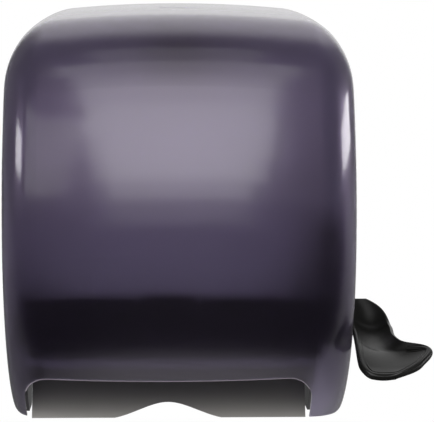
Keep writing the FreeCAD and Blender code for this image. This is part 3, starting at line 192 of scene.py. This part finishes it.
# metals: colour, roughness and its spread, fineness of the brushing
metalLooks = {
    "zincSteel": dict(base=(0.58, 0.58, 0.57), rough=0.30, spread=0.18, scratch=900.0),
    "bladeSteel": dict(base=(0.62, 0.62, 0.61), rough=0.24, spread=0.14, scratch=1400.0),
    "springSteel": dict(base=(0.46, 0.45, 0.43), rough=0.32, spread=0.12, scratch=1200.0),
}
metalGrain = dict(stretch=0.06, cloud=45.0, cloudShare=0.6, scratchShare=0.4, dark=0.82, wander=0.12,
                  strength=0.4, depth=0.01)


def metal(name):
    look, grain = metalLooks[name], metalGrain
    material, board, place = newMaterial(name)
    along = board.add("ShaderNodeMapping", {}, {"Vector": place, "Scale": (grain["stretch"], 1.0, 1.0)})
    brushed = noise(board, along, look["scratch"], 3.0)
    cloud = noise(board, place, grain["cloud"], 3.0)
    tint = blend(board, cloud * grain["cloudShare"] + brushed * grain["scratchShare"],
                 shaded(look["base"], grain["dark"]), colour(*look["base"]))
    rough = (cloud - 0.5) * look["spread"] + (brushed - 0.5) * grain["wander"] + look["rough"]
    return surfaced(material, board, principled(board, {
        "Base Color": tint, "Metallic": 1.0, "Roughness": rough,
        "Normal": bumped(board, brushed, grain["strength"], grain["depth"])}))


rubberLook = dict(dark=(0.020, 0.020, 0.021), pale=(0.045, 0.044, 0.043), cloud=60.0, speck=1800.0,
                  cloudShare=0.7, speckShare=0.3, rough=0.66, spread=0.12, strength=0.8, depth=0.03)


def rubber():
    look = rubberLook
    material, board, place = newMaterial("sleeveRubber")
    cloud = noise(board, place, look["cloud"], 3.0)
    speck = noise(board, place, look["speck"])
    tint = blend(board, cloud * look["cloudShare"] + speck * look["speckShare"], colour(*look["dark"]),
                 colour(*look["pale"]))
    return surfaced(material, board, principled(board, {
        "Base Color": tint, "Roughness": cloud * look["spread"] + look["rough"],
        "Normal": bumped(board, speck, look["strength"], look["depth"])}))


# the smoked cover: a hazy clear plastic under a glossy skin, with a little pearl in it
coverLook = dict(smoke=(0.42, 0.378, 0.525), dense=0.96, thin=1.04, edgeSmoke=0.30, edgeFall=1.8, haze=0.55,
                 hazeSpread=0.04, index=1.2, gloss=0.12, glossIndex=1.59, ripple=0.004, rippleStrength=0.2,
                 pearl=(0.74, 0.50, 0.80), pearlShare=0.026, pearlLeast=0.7, pearlWander=0.6, pearlRough=0.36)
coverGrain = dict(cloud=9.0, cloudShare=0.8, fleck=2600.0, fleckShare=0.2, mottle=40.0, ripple=30.0)


def smokedPlastic():
    look, grain = coverLook, coverGrain
    material, board, place = newMaterial("smokedCover")
    cloud = noise(board, place, grain["cloud"])
    fleck = noise(board, place, grain["fleck"], 1.0)
    flat = blend(board, cloud * grain["cloudShare"] + fleck * grain["fleckShare"],
                 shaded(look["smoke"], look["dense"]), shaded(look["smoke"], look["thin"]))
    # a slanting ray crosses more of the wall, so it comes out darker
    slant = board.add("ShaderNodeLayerWeight", {}, {"Blend": 0.5}, out=1)
    tint = blend(board, slant ** look["edgeFall"], flat, shaded(look["smoke"], look["edgeSmoke"]))
    rough = (noise(board, place, grain["mottle"], 3.0) - 0.5) * look["hazeSpread"] + look["haze"]
    bump = bumped(board, noise(board, place, grain["ripple"], 1.0), look["rippleStrength"], look["ripple"])
    clear = principled(board, {
        "Base Color": tint, "Roughness": rough, "Normal": bump, "Transmission Weight": 1.0, "IOR": look["index"],
        "Coat Weight": 1.0, "Coat Roughness": look["gloss"], "Coat IOR": look["glossIndex"]})
    flakes = principled(board, {"Base Color": colour(*look["pearl"]), "Metallic": 1.0,
                                "Roughness": look["pearlRough"], "Normal": bump})
    share = look["pearlShare"] * (fleck * look["pearlWander"] + look["pearlLeast"])
    return surfaced(material, board, board.add("ShaderNodeMixShader", {}, {0: share, 1: clear, 2: flakes}))


finishes = {name: plastic(name) for name in plasticLooks}
finishes.update({name: metal(name) for name in metalLooks})
finishes["sleeveRubber"] = rubber()
finishes["smokedCover"] = smokedPlastic()

finishOfPart = {
    "smokedCover": ["front_cover", "latch_guide", "notch_filler"],
    "leverBlack": ["lever"],
    "moduleBlack": ["module_cover", "side_frame_left", "side_frame_right", "feed_frame", "latch", "latch_strike"],
    "caseBlack": ["gear_case", "module_screws", "feed_wheel", "pressure_arms", "feed_cores"],
    "chuteGrey": ["paper_chute"],
    "backGrey": ["back_plate"],
    "armGrey": ["roll_arm_left", "roll_arm_right", "arm_bracket", "roll_hub_left", "roll_hub_right"],
    "naturalNylon": ["sector_gear", "pinion", "feed_bush_left", "feed_bush_right", "lever_bush_inner",
                     "lever_bush_outer"],
    "sleeveRubber": ["feed_sleeves", "pressure_rollers"],
    "zincSteel": ["strike_screws", "hinge_pin_left", "hinge_pin_right", "frame_screws", "tie_bar",
                  "tear_bar_screws", "feed_axle", "feed_clip", "pressure_pivot", "pressure_axle", "arm_pin",
                  "arm_screws", "hub_clip_left", "hub_clip_right", "gear_case_screws", "lever_axle",
                  "one_way_clutch", "lever_set_screw"],
    "bladeSteel": ["tear_bar"],
    "springSteel": ["latch_springs", "pressure_springs", "arm_spring", "lever_spring"],
}

for finishName, parts in finishOfPart.items():
    for part in parts:
        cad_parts[part].data.materials.clear()
        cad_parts[part].data.materials.append(finishes[finishName])
print("finishes made:", len(finishes))


def growPiece(name, points, edges, build, sizes, finish, facing=None):
    # a plain mesh, grown by a node tree from a few starting points; sizes are the tree's named inputs
    mesh = bpy.data.meshes.new(name)
    mesh.from_pydata(points, edges, [])
    if facing:
        towards = mesh.attributes.new("facing", "FLOAT_VECTOR", "POINT")
        for item in towards.data:
            item.vector = facing
    piece = bpy.data.objects.new(name, mesh)
    bpy.context.scene.collection.objects.link(piece)
    tree = bpy.data.node_groups.new(name + "Nodes", "GeometryNodeTree")
    board = Board(tree)
    tree.interface.new_socket("Geometry", in_out="OUTPUT", socket_type="NodeSocketGeometry")
    tree.interface.new_socket("Geometry", in_out="INPUT", socket_type="NodeSocketGeometry")
    inputs = {label: tree.interface.new_socket(label, in_out="INPUT", socket_type="NodeSocketFloat")
              for label in sizes}
    start = tree.nodes.new("NodeGroupInput")
    wires = {label: Wire(board, start.outputs[label]) for label in sizes}
    grown = build(board, Wire(board, start.outputs["Geometry"]), wires)
    real = board.add("GeometryNodeRealizeInstances", {}, {"Geometry": grown})
    dressed = board.add("GeometryNodeSetMaterial", {}, {"Geometry": real, "Material": finish})
    end = tree.nodes.new("NodeGroupOutput")
    tree.links.new(dressed.socket, end.inputs["Geometry"])
    modifier = piece.modifiers.new(name, "NODES")
    modifier.node_group = tree
    for label, value in sizes.items():
        modifier[inputs[label].identifier] = value
    plain = bpy.data.meshes.new_from_object(piece.evaluated_get(bpy.context.evaluated_depsgraph_get()))
    piece.modifiers.clear()
    piece.data = plain
    return piece


def joined(board, *parts):
    join = board.tree.nodes.new("GeometryNodeJoinGeometry")
    for part in reversed(parts):
        board.tree.links.new(part.socket, join.inputs["Geometry"])
    return Wire(board, join.outputs["Geometry"])


def vector(board, x=0.0, y=0.0, z=0.0):
    return board.add("ShaderNodeCombineXYZ", {}, {"X": x, "Y": y, "Z": z})


def moved(board, geometry, change, amount):
    return board.add("GeometryNodeTransform", {}, {"Geometry": geometry, change: amount})


def standing(board, places, geometry):
    # one copy on every starting point, its Z axis along the point's facing
    towards = board.add("GeometryNodeInputNamedAttribute", {"data_type": "FLOAT_VECTOR"}, {"Name": "facing"})
    turn = board.add("FunctionNodeAlignRotationToVector", {"axis": "Z"}, {"Vector": towards})
    return board.add("GeometryNodeInstanceOnPoints", {}, {"Points": places, "Instance": geometry, "Rotation": turn})


def smoothFaces(piece):
    for face in piece.data.polygons:
        face.use_smooth = True


def looseParts(node):
    # lowest and highest corner of each loose part of a node's mesh
    copy = bmesh.new()
    copy.from_mesh(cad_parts[node].data)
    bmesh.ops.remove_doubles(copy, verts=copy.verts, dist=0.001 * mm)
    left, boxes = set(copy.verts), []
    while left:
        found = [left.pop()]
        for vert in found:
            for edge in vert.link_edges:
                other = edge.other_vert(vert)
                if other in left:
                    left.remove(other)
                    found.append(other)
        boxes.append((Vector([min(v.co[k] for v in found) for k in range(3)]),
                      Vector([max(v.co[k] for v in found) for k in range(3)])))
    copy.free()
    return boxes


# screws: radius and height of the head, radius of the shank, width and depth of the cross (mm)
screwSizes = dict(head=3.4, height=1.8, shank=1.9, cross=0.8, deep=1.1)
# shares of the head's height and radius at the steps of its dome, and reach of the cross
screwDome = dict(seat=0.3, rim=0.5, shoulder=0.82, shoulderWide=0.84, crownWide=0.5, reach=1.1, sides=28)
screwKinds = {
    "strike_screws": dict(facing=(0, -1, 0), finish="zincSteel"),
    "frame_screws": dict(facing=(0, -1, 0), finish="zincSteel"),
    "arm_screws": dict(facing=(0, -1, 0), finish="zincSteel"),
    "module_screws": dict(facing=(0, -1, 0), finish="caseBlack"),
    "gear_case_screws": dict(facing=(1, 0, 0), finish="zincSteel"),
}


def screwTree(board, places, size):
    # a domed head over its shank, with a cross cut into it
    head, height, dome = size["Head radius"], size["Head height"], screwDome

    def ring(low, high, bottom, top):
        cone = board.add("GeometryNodeMeshCone", {}, {
            "Vertices": dome["sides"], "Radius Bottom": bottom, "Radius Top": top, "Depth": high - low})
        return moved(board, cone, "Translation", vector(board, z=low))

    def bar(width, depth):
        cube = board.add("GeometryNodeMeshCube", {}, {"Size": vector(board, width, depth, size["Cross depth"] * 2)})
        return moved(board, cube, "Translation", vector(board, z=height))

    def united(*parts):
        return board.add("GeometryNodeMeshBoolean", {"operation": "UNION"}, {"Mesh 2": joined(board, *parts)})

    rim, shoulder, shoulderWide = height * dome["rim"], height * dome["shoulder"], head * dome["shoulderWide"]
    solid = united(ring(size["Length"] * -1, height * dome["seat"], size["Shank radius"], size["Shank radius"]),
                   ring(height * 0.0, rim, head, head), ring(rim, shoulder, head, shoulderWide),
                   ring(shoulder, height * 1.0, shoulderWide, head * dome["crownWide"]))
    reach = head * dome["reach"]
    cross = united(bar(reach, size["Cross width"]), bar(size["Cross width"], reach))
    cut = board.add("GeometryNodeMeshBoolean", {"operation": "DIFFERENCE"}, {"Mesh 1": solid, "Mesh 2": cross})
    return standing(board, places, cut)


def makeScrews():
    height = screwSizes["height"] * mm
    for node, kind in screwKinds.items():
        facing = Vector(kind["facing"])
        boxes = looseParts(node)
        longest = [abs((high - low).dot(facing)) for low, high in boxes]
        seats = [(low + high) / 2 + facing * (reach / 2 - height) for (low, high), reach in zip(boxes, longest)]
        piece = growPiece(node + "Crossed", [tuple(seat) for seat in seats], [], screwTree, {
            "Head radius": screwSizes["head"] * mm, "Head height": height,
            "Shank radius": screwSizes["shank"] * mm, "Length": min(longest) - height,
            "Cross width": screwSizes["cross"] * mm, "Cross depth": screwSizes["deep"] * mm},
            finishes[kind["finish"]], facing=kind["facing"])
        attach(piece, "chassis")
        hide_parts(node)


makeScrews()
print("screws made:", len(screwKinds))

# coil springs: direction, wire radius (mm), turns, and the joint that presses them, from which end, to what share
coilKinds = {
    "latch_springs": dict(facing=(0, 0, 1), wire=0.3, turns=6, body="cover", joint="latch_press", fixed=0,
                          keep=0.48),
    "pressure_springs": dict(facing=(0, -1, 0), wire=0.5, turns=10, body="chassis", joint="press_swing", fixed=0,
                             keep=0.93),
    "arm_spring": dict(facing=(1, 0, 0), wire=0.5, turns=7, body="chassis", joint="arm_swing", fixed=1, keep=0.72),
}
coilShape = dict(flatEnd=0.10, turnSides=28, wireSides=10)


def coilTree(board, places, size):
    # a coil whose end turns lie flat
    spiral = board.add("GeometryNodeCurveSpiral", {}, {
        "Resolution": coilShape["turnSides"], "Rotations": size["Turns"], "Start Radius": size["Radius"],
        "End Radius": size["Radius"], "Height": 1.0})
    place = board.add("GeometryNodeInputPosition")
    x, y, z = (axis(board, place, k) for k in range(3))
    risen = ramp(board, z, coilShape["flatEnd"], 1.0 - coilShape["flatEnd"], 0.0, 1.0)
    rise = size["Wire"] + (size["Length"] - size["Wire"] * 2) * risen
    shaped = board.add("GeometryNodeSetPosition", {}, {"Geometry": spiral, "Position": vector(board, x, y, rise)})
    section = board.add("GeometryNodeCurvePrimitiveCircle", {"mode": "RADIUS"}, {
        "Resolution": coilShape["wireSides"], "Radius": size["Wire"]})
    wire = board.add("GeometryNodeCurveToMesh", {}, {"Curve": shaped, "Profile Curve": section, "Fill Caps": True})
    return standing(board, places, wire)


def makeCoils():
    for node, kind in coilKinds.items():
        facing = Vector(kind["facing"])
        boxes = looseParts(node)
        lengths = [abs((high - low).dot(facing)) for low, high in boxes]
        wide = min(max((high - low)[k] for k in range(3) if not facing[k]) for low, high in boxes)
        feet = [(low + high) / 2 - facing * (length / 2) for (low, high), length in zip(boxes, lengths)]
        piece = growPiece(node + "Coils", [tuple(foot) for foot in feet], [], coilTree, {
            "Turns": float(kind["turns"]), "Radius": wide / 2 - kind["wire"] * mm, "Wire": kind["wire"] * mm,
            "Length": min(lengths)}, finishes["springSteel"], facing=kind["facing"])
        smoothFaces(piece)
        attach(piece, kind["body"])
        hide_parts(node)
        tuple(feet[0] + facing * lengths[0] * kind["fixed"])
        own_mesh(piece)


makeCoils()
print("springs made:", len(coilKinds))

# the lever's rim: a raised roll along the leaf's edge and a fine ridge inside it (mm), between the stations
# where it starts on the left, rounds the tip and ends on the right
leverRim = dict(rollInset=3.0, rollWidth=2.7, rollHeight=1.7, rollSink=0.7, ridgeInset=6.6, ridgeWidth=0.9,
                ridgeHeight=0.7, ridgeSink=0.1, spacing=1.5, first=5, tip=12, last=7)
# the leaf's stations: ahead of and above the axle, left and right edge, dish, thickness (mm)
leafStations = [
    (13.0, 13.5, 4.0, 15.0, 0.3, 2.6), (14.0, 7.0, 1.6, 25.5, 1.6, 4.6), (16.5, -1.5, 1.0, 31.0, 3.0, 5.4),
    (24.0, -10.0, 1.0, 33.1, 4.6, 5.6), (38.0, -14.0, 1.0, 33.8, 5.6, 5.6), (56.0, -18.0, 1.0, 33.7, 6.4, 5.6),
    (66.0, -20.3, 0.8, 35.9, 6.7, 5.6), (74.0, -22.5, 0.6, 42.0, 7.0, 5.6), (79.0, -24.0, 0.5, 55.0, 6.9, 5.5),
    (88.0, -26.5, 0.4, 59.3, 6.4, 5.4), (102.0, -31.0, 0.6, 51.6, 4.6, 5.0), (113.0, -34.2, 3.6, 39.9, 2.4, 4.2),
    (119.0, -35.8, 11.5, 28.7, 0.4, 2.6)]
leverAxis = Vector((135.27, -66.0, -88.0))  # inner end of the hub, on the axle (mm)

# how far along the leaf each station lies
leafRuns = [0.0]
for before, after in zip(leafStations, leafStations[1:]):
    leafRuns.append(leafRuns[-1] + math.dist(before[:2], after[:2]))


def leafPoint(travel, across, sink):
    # a point on the leaf's upper face; travel runs along the stations, across is from the hub's inner end
    at = max(k for k in range(len(leafRuns) - 1) if leafRuns[k] <= max(travel, 0.0))
    run = leafRuns[at + 1] - leafRuns[at]
    share = min(1.0, (travel - leafRuns[at]) / run)
    before, after = leafStations[at], leafStations[at + 1]
    ahead, above, left, right, dish, thick = (a + (b - a) * share for a, b in zip(before, after))
    side = (across - (left + right) / 2) / ((right - left) / 2)
    lift = dish * side * side + thick / 2 - sink
    forward = ahead - lift * (after[1] - before[1]) / run
    upward = above + lift * (after[0] - before[0]) / run
    return (leverAxis + Vector((across, -forward, upward))) * mm


def leafEdge(inset):
    # down the leaf's left edge, round its tip and up its right edge, that far inside it
    tip = leverRim["tip"]
    outline = [(leafRuns[k], leafStations[k][2]) for k in range(leverRim["first"], tip + 1)]
    outline += [(leafRuns[k], leafStations[k][3]) for k in range(tip, leverRim["last"] - 1, -1)]
    inner = []
    for k, (travel, across) in enumerate(outline):
        before, after = outline[max(k - 1, 0)], outline[min(k + 1, len(outline) - 1)]
        run = Vector((after[0] - before[0], after[1] - before[1])).normalized()
        inner.append((travel - run.y * inset, across + run.x * inset))
    return inner


beadSides = 14


def beadTree(board, path, size):
    # an oval bead along the path
    curve = board.add("GeometryNodeMeshToCurve", {}, {"Mesh": path})
    curve = board.add("GeometryNodeCurveSplineType", {"spline_type": "CATMULL_ROM"}, {"Curve": curve})
    curve = board.add("GeometryNodeResampleCurve", {"mode": "LENGTH"}, {"Curve": curve, "Length": size["Spacing"]})
    circle = board.add("GeometryNodeCurvePrimitiveCircle", {"mode": "RADIUS"}, {
        "Resolution": beadSides, "Radius": 1.0})
    oval = moved(board, circle, "Scale", vector(board, size["Half width"], size["Half height"], 1.0))
    return board.add("GeometryNodeCurveToMesh", {}, {"Curve": curve, "Profile Curve": oval, "Fill Caps": True})


def makeBead(name, points, halfWidth, halfHeight, spacing, finish, body):
    piece = growPiece(name, points, [(k, k + 1) for k in range(len(points) - 1)], beadTree, {
        "Half width": halfWidth * mm, "Half height": halfHeight * mm, "Spacing": spacing * mm}, finish)
    smoothFaces(piece)
    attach(piece, body)


def makeLeverRim():
    for name, kind in (("leverRoll", "roll"), ("leverRidge", "ridge")):
        points = [tuple(leafPoint(travel, across, leverRim[kind + "Sink"]))
                  for travel, across in leafEdge(leverRim[kind + "Inset"])]
        makeBead(name, points, leverRim[kind + "Width"], leverRim[kind + "Height"], leverRim["spacing"],
                 finishes["leverBlack"], "lever")


makeLeverRim()
print("lever rim made")

# the rolled edge of the cover over the outlet: half widths of the bead and the span it follows (mm)
archBead = dict(halfWidth=0.8, halfHeight=1.0, left=-118.0, right=101.0, step=2.0, low=-161.0, high=-118.0,
                sink=0.7, clear=2.0)
# the feeler starts ahead of the cover, and only its front wall counts (mm)
feelerSizes = dict(start=-500.0, rear=-150.0, above=0.05, halvings=18)
# painted highlight: the rim's pale base colour stands in for the light along the cover's rolled edge
rimHighlightLook = dict(base=(0.30, 0.265, 0.315), dark=0.8, cloud=80.0, grain=400.0, rough=0.32, spread=0.08,
               gloss=0.6, glossRough=0.15, strength=0.3, depth=0.01)


def rimPaintedHighlight():
    # the rolled edge of the smoked cover, partly a painted highlight: its opaque pale colour paints the light its
    # edge catches, and the coat adds a real gloss
    look = rimHighlightLook
    material, board, place = newMaterial("rimSmokePaintedHighlight")
    cloud = noise(board, place, look["cloud"])
    tint = blend(board, cloud, shaded(look["base"], look["dark"]), colour(*look["base"]))
    return surfaced(material, board, principled(board, {
        "Base Color": tint, "Roughness": cloud * look["spread"] + look["rough"],
        "Normal": bumped(board, noise(board, place, look["grain"]), look["strength"], look["depth"]),
        "Coat Weight": look["gloss"], "Coat Roughness": look["glossRough"]}))


def makeArchBead():
    # feels along the cover's front for the lowest place the wall reaches
    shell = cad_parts["front_cover"].data
    feeler = BVHTree.FromPolygons([v.co for v in shell.vertices], [p.vertices for p in shell.polygons])

    def wall(x, z):
        hit = feeler.ray_cast(Vector((x, feelerSizes["start"] * mm, z)), Vector((0.0, 1.0, 0.0)))[0]
        return hit if hit is not None and hit.y < feelerSizes["rear"] * mm else None

    points = []
    for k in range(int((archBead["right"] - archBead["left"]) / archBead["step"]) + 1):
        x = (archBead["left"] + k * archBead["step"]) * mm
        low, high = archBead["low"] * mm, archBead["high"] * mm
        for _ in range(feelerSizes["halvings"]):
            middle = (low + high) / 2
            low, high = (low, middle) if wall(x, middle) else (middle, high)
        hit = wall(x, high + feelerSizes["above"] * mm)
        if hit and high > (archBead["low"] + archBead["clear"]) * mm:
            points.append((x, hit.y + archBead["sink"] * mm, high + archBead["halfHeight"] / 2 * mm))
    makeBead("archBead", points, archBead["halfWidth"], archBead["halfHeight"], archBead["step"], rimPaintedHighlight(),
             "cover")
    print("arch bead made:", len(points), "points")


makeArchBead()

shot = dict(place=(-0.0200, -1.9049, 0.1237), aim=(0.02785, 0.99718, -0.06976), lens=190.8, sensor=36.0,
            nearest=0.05, furthest=60.0)

cameraData = bpy.data.cameras.new("camera")
cameraData.lens = shot["lens"]
cameraData.sensor_width = shot["sensor"]
cameraData.clip_start = shot["nearest"]
cameraData.clip_end = shot["furthest"]
camera = bpy.data.objects.new("camera", cameraData)
camera.location = shot["place"]
camera.rotation_mode = "QUATERNION"
camera.rotation_quaternion = Vector(shot["aim"]).to_track_quat("-Z", "Y")
bpy.context.scene.collection.objects.link(camera)
bpy.context.scene.camera = camera


def rayKinds(board):
    return [board.add("ShaderNodeLightPath", out=name) for name in
            ("Is Camera Ray", "Is Glossy Ray", "Is Transmission Ray")]


# the floor hangs below the open cover; each mask runs from one place to another, with its level at both (m)
floorLook = dict(height=-0.42, half=12.0, white=0.85, shadow=(0.5, 1.04, 0.18, 0.0),
                 underFront=(-0.32, -0.195, 0.03, 0.52), underLeft=(-0.16, -0.04, 0.25, 1.0),
                 underRight=(0.08, 0.16, 1.0, 0.5), behind=(0.3, 2.0, 0.05, 0.95))


def makeFloor():
    look = floorLook
    half, z = look["half"], look["height"]
    mesh = bpy.data.meshes.new("floor")
    mesh.from_pydata([(-half, -half, z), (half, -half, z), (half, half, z), (-half, half, z)], [], [(0, 1, 2, 3)])
    floor = bpy.data.objects.new("floor", mesh)
    bpy.context.scene.collection.objects.link(floor)
    material, board, place = newMaterial("floorPaper")
    camera, glossy, through = rayKinds(board)
    x, y = axis(board, place, 0), axis(board, place, 1)
    away = board.add("ShaderNodeVectorMath", {"operation": "LENGTH"}, {0: place}, out=1)
    # the paper under the object keeps its shadow, and further off it is plain white
    near = smooth(board, away, look["shadow"])
    under = smooth(board, y, look["underFront"]) * smooth(board, x, look["underLeft"]) * smooth(
        board, x, look["underRight"])
    behind = smooth(board, y, look["behind"])
    paper = board.add("ShaderNodeBsdfDiffuse", {}, {"Color": grey(look["white"])})
    white = board.add("ShaderNodeEmission", {}, {
        "Color": grey(1.0), "Strength": camera + glossy * under + through * behind})
    shown = camera * (1 - near) + (1 - camera) * glossy.calc("MAXIMUM", glossy, through)
    mesh.materials.append(surfaced(material, board, board.add("ShaderNodeMixShader", {}, {
        0: shown, 1: paper, 2: white})))


# a white backdrop behind and above the object, and a dark room in front and at its sides: each mask runs from
# one share of the direction to another, with its level at both
worldLook = dict(light=0.45, behind=(0.10, 0.42, 0.0, 1.0), shift=0.08, middle=(0.25, 0.55, 1.0, 0.06),
                 high=(0.0, 0.3, 0.6, 1.0), dark=0.112)


def makeWorld():
    look = worldLook
    world = bpy.data.worlds.new("studio")
    bpy.context.scene.world = world
    world.use_nodes = True
    board = Board(world.node_tree)
    camera, glossy, through = rayKinds(board)
    direction = board.add("ShaderNodeTexCoord", out="Generated")
    x, y, z = (axis(board, direction, k) for k in range(3))
    aside = x - look["shift"]
    backdrop = smooth(board, y, look["behind"]) * smooth(
        board, aside.calc("ABSOLUTE", aside), look["middle"]) * smooth(board, z, look["high"]) + look["dark"]
    seen = glossy.calc("MAXIMUM", glossy, through)
    light = board.add("ShaderNodeBackground", {}, {0: grey(1.0), 1: look["light"]})
    shown = board.add("ShaderNodeBackground", {}, {0: grey(1.0), 1: camera + (1 - camera) * backdrop})
    mix = board.add("ShaderNodeMixShader", {}, {0: camera.calc("MAXIMUM", camera, seen), 1: light, 2: shown})
    board.add("ShaderNodeOutputWorld", {}, {"Surface": mix})


# each lamp: bearing from straight ahead and height, both from and to (degrees), distance, radiance
lamps = {
    "frontLow": (-9.0, 10.0, -8.0, 0.0, 2.5, 0.6),
    "frontRise": (-9.2, 10.6, 0.0, 6.0, 2.5, 1.9),
    "frontMid": (-10.6, 12.2, 6.0, 13.0, 2.5, 3.0),
    "frontMain": (-12.0, 14.0, 13.0, 20.0, 2.5, 3.0),
    "frontHigh": (-13.8, 15.4, 20.0, 31.0, 2.5, 2.95),
    "frontFall": (-16.4, 17.6, 31.0, 42.0, 2.5, 2.3),
    "frontTop": (-20.0, 22.0, 42.0, 52.0, 2.5, 1.5),
    "frontEnd": (-29.0, 31.0, 52.0, 66.0, 2.5, 1.1),
    "overhead": (-36.0, 38.0, 66.0, 84.0, 2.5, 0.5),
    "leftFill": (-52.0, -13.8, 2.0, 27.0, 2.5, 1.0),
    "leftStrip": (-82.0, -64.0, 6.0, 16.0, 1.6, 6.8),
    "rightStrip": (80.0, 114.0, 5.0, 15.5, 1.6, 7.4),
}
lampCentre = Vector((0.0, -0.19, 0.02))


def lampPoint(bearing, height, distance):
    turn, lift = math.radians(bearing), math.radians(height)
    return lampCentre + distance * Vector((math.sin(turn) * math.cos(lift), -math.cos(turn) * math.cos(lift),
                                           math.sin(lift)))


def makeLamps():
    for name, (left, right, low, high, distance, radiance) in lamps.items():
        data = bpy.data.lights.new(name, "AREA")
        data.shape = "RECTANGLE"
        wide, tall = math.radians(right - left) / 2, math.radians(high - low) / 2
        data.size = 2 * distance * math.tan(wide) * math.cos(math.radians((low + high) / 2))
        data.size_y = 2 * distance * math.tan(tall)
        data.energy = radiance * math.pi * data.size * data.size_y
        lamp = bpy.data.objects.new(name, data)
        lamp.location = lampPoint((left + right) / 2, (low + high) / 2, distance)
        lamp.rotation_mode = "QUATERNION"
        lamp.rotation_quaternion = (lampCentre - lamp.location).to_track_quat("-Z", "Y")
        lamp.visible_camera = False
        bpy.context.scene.collection.objects.link(lamp)


makeFloor()
makeWorld()
makeLamps()
bpy.context.scene.view_settings.view_transform = "Standard"
print("stage set")
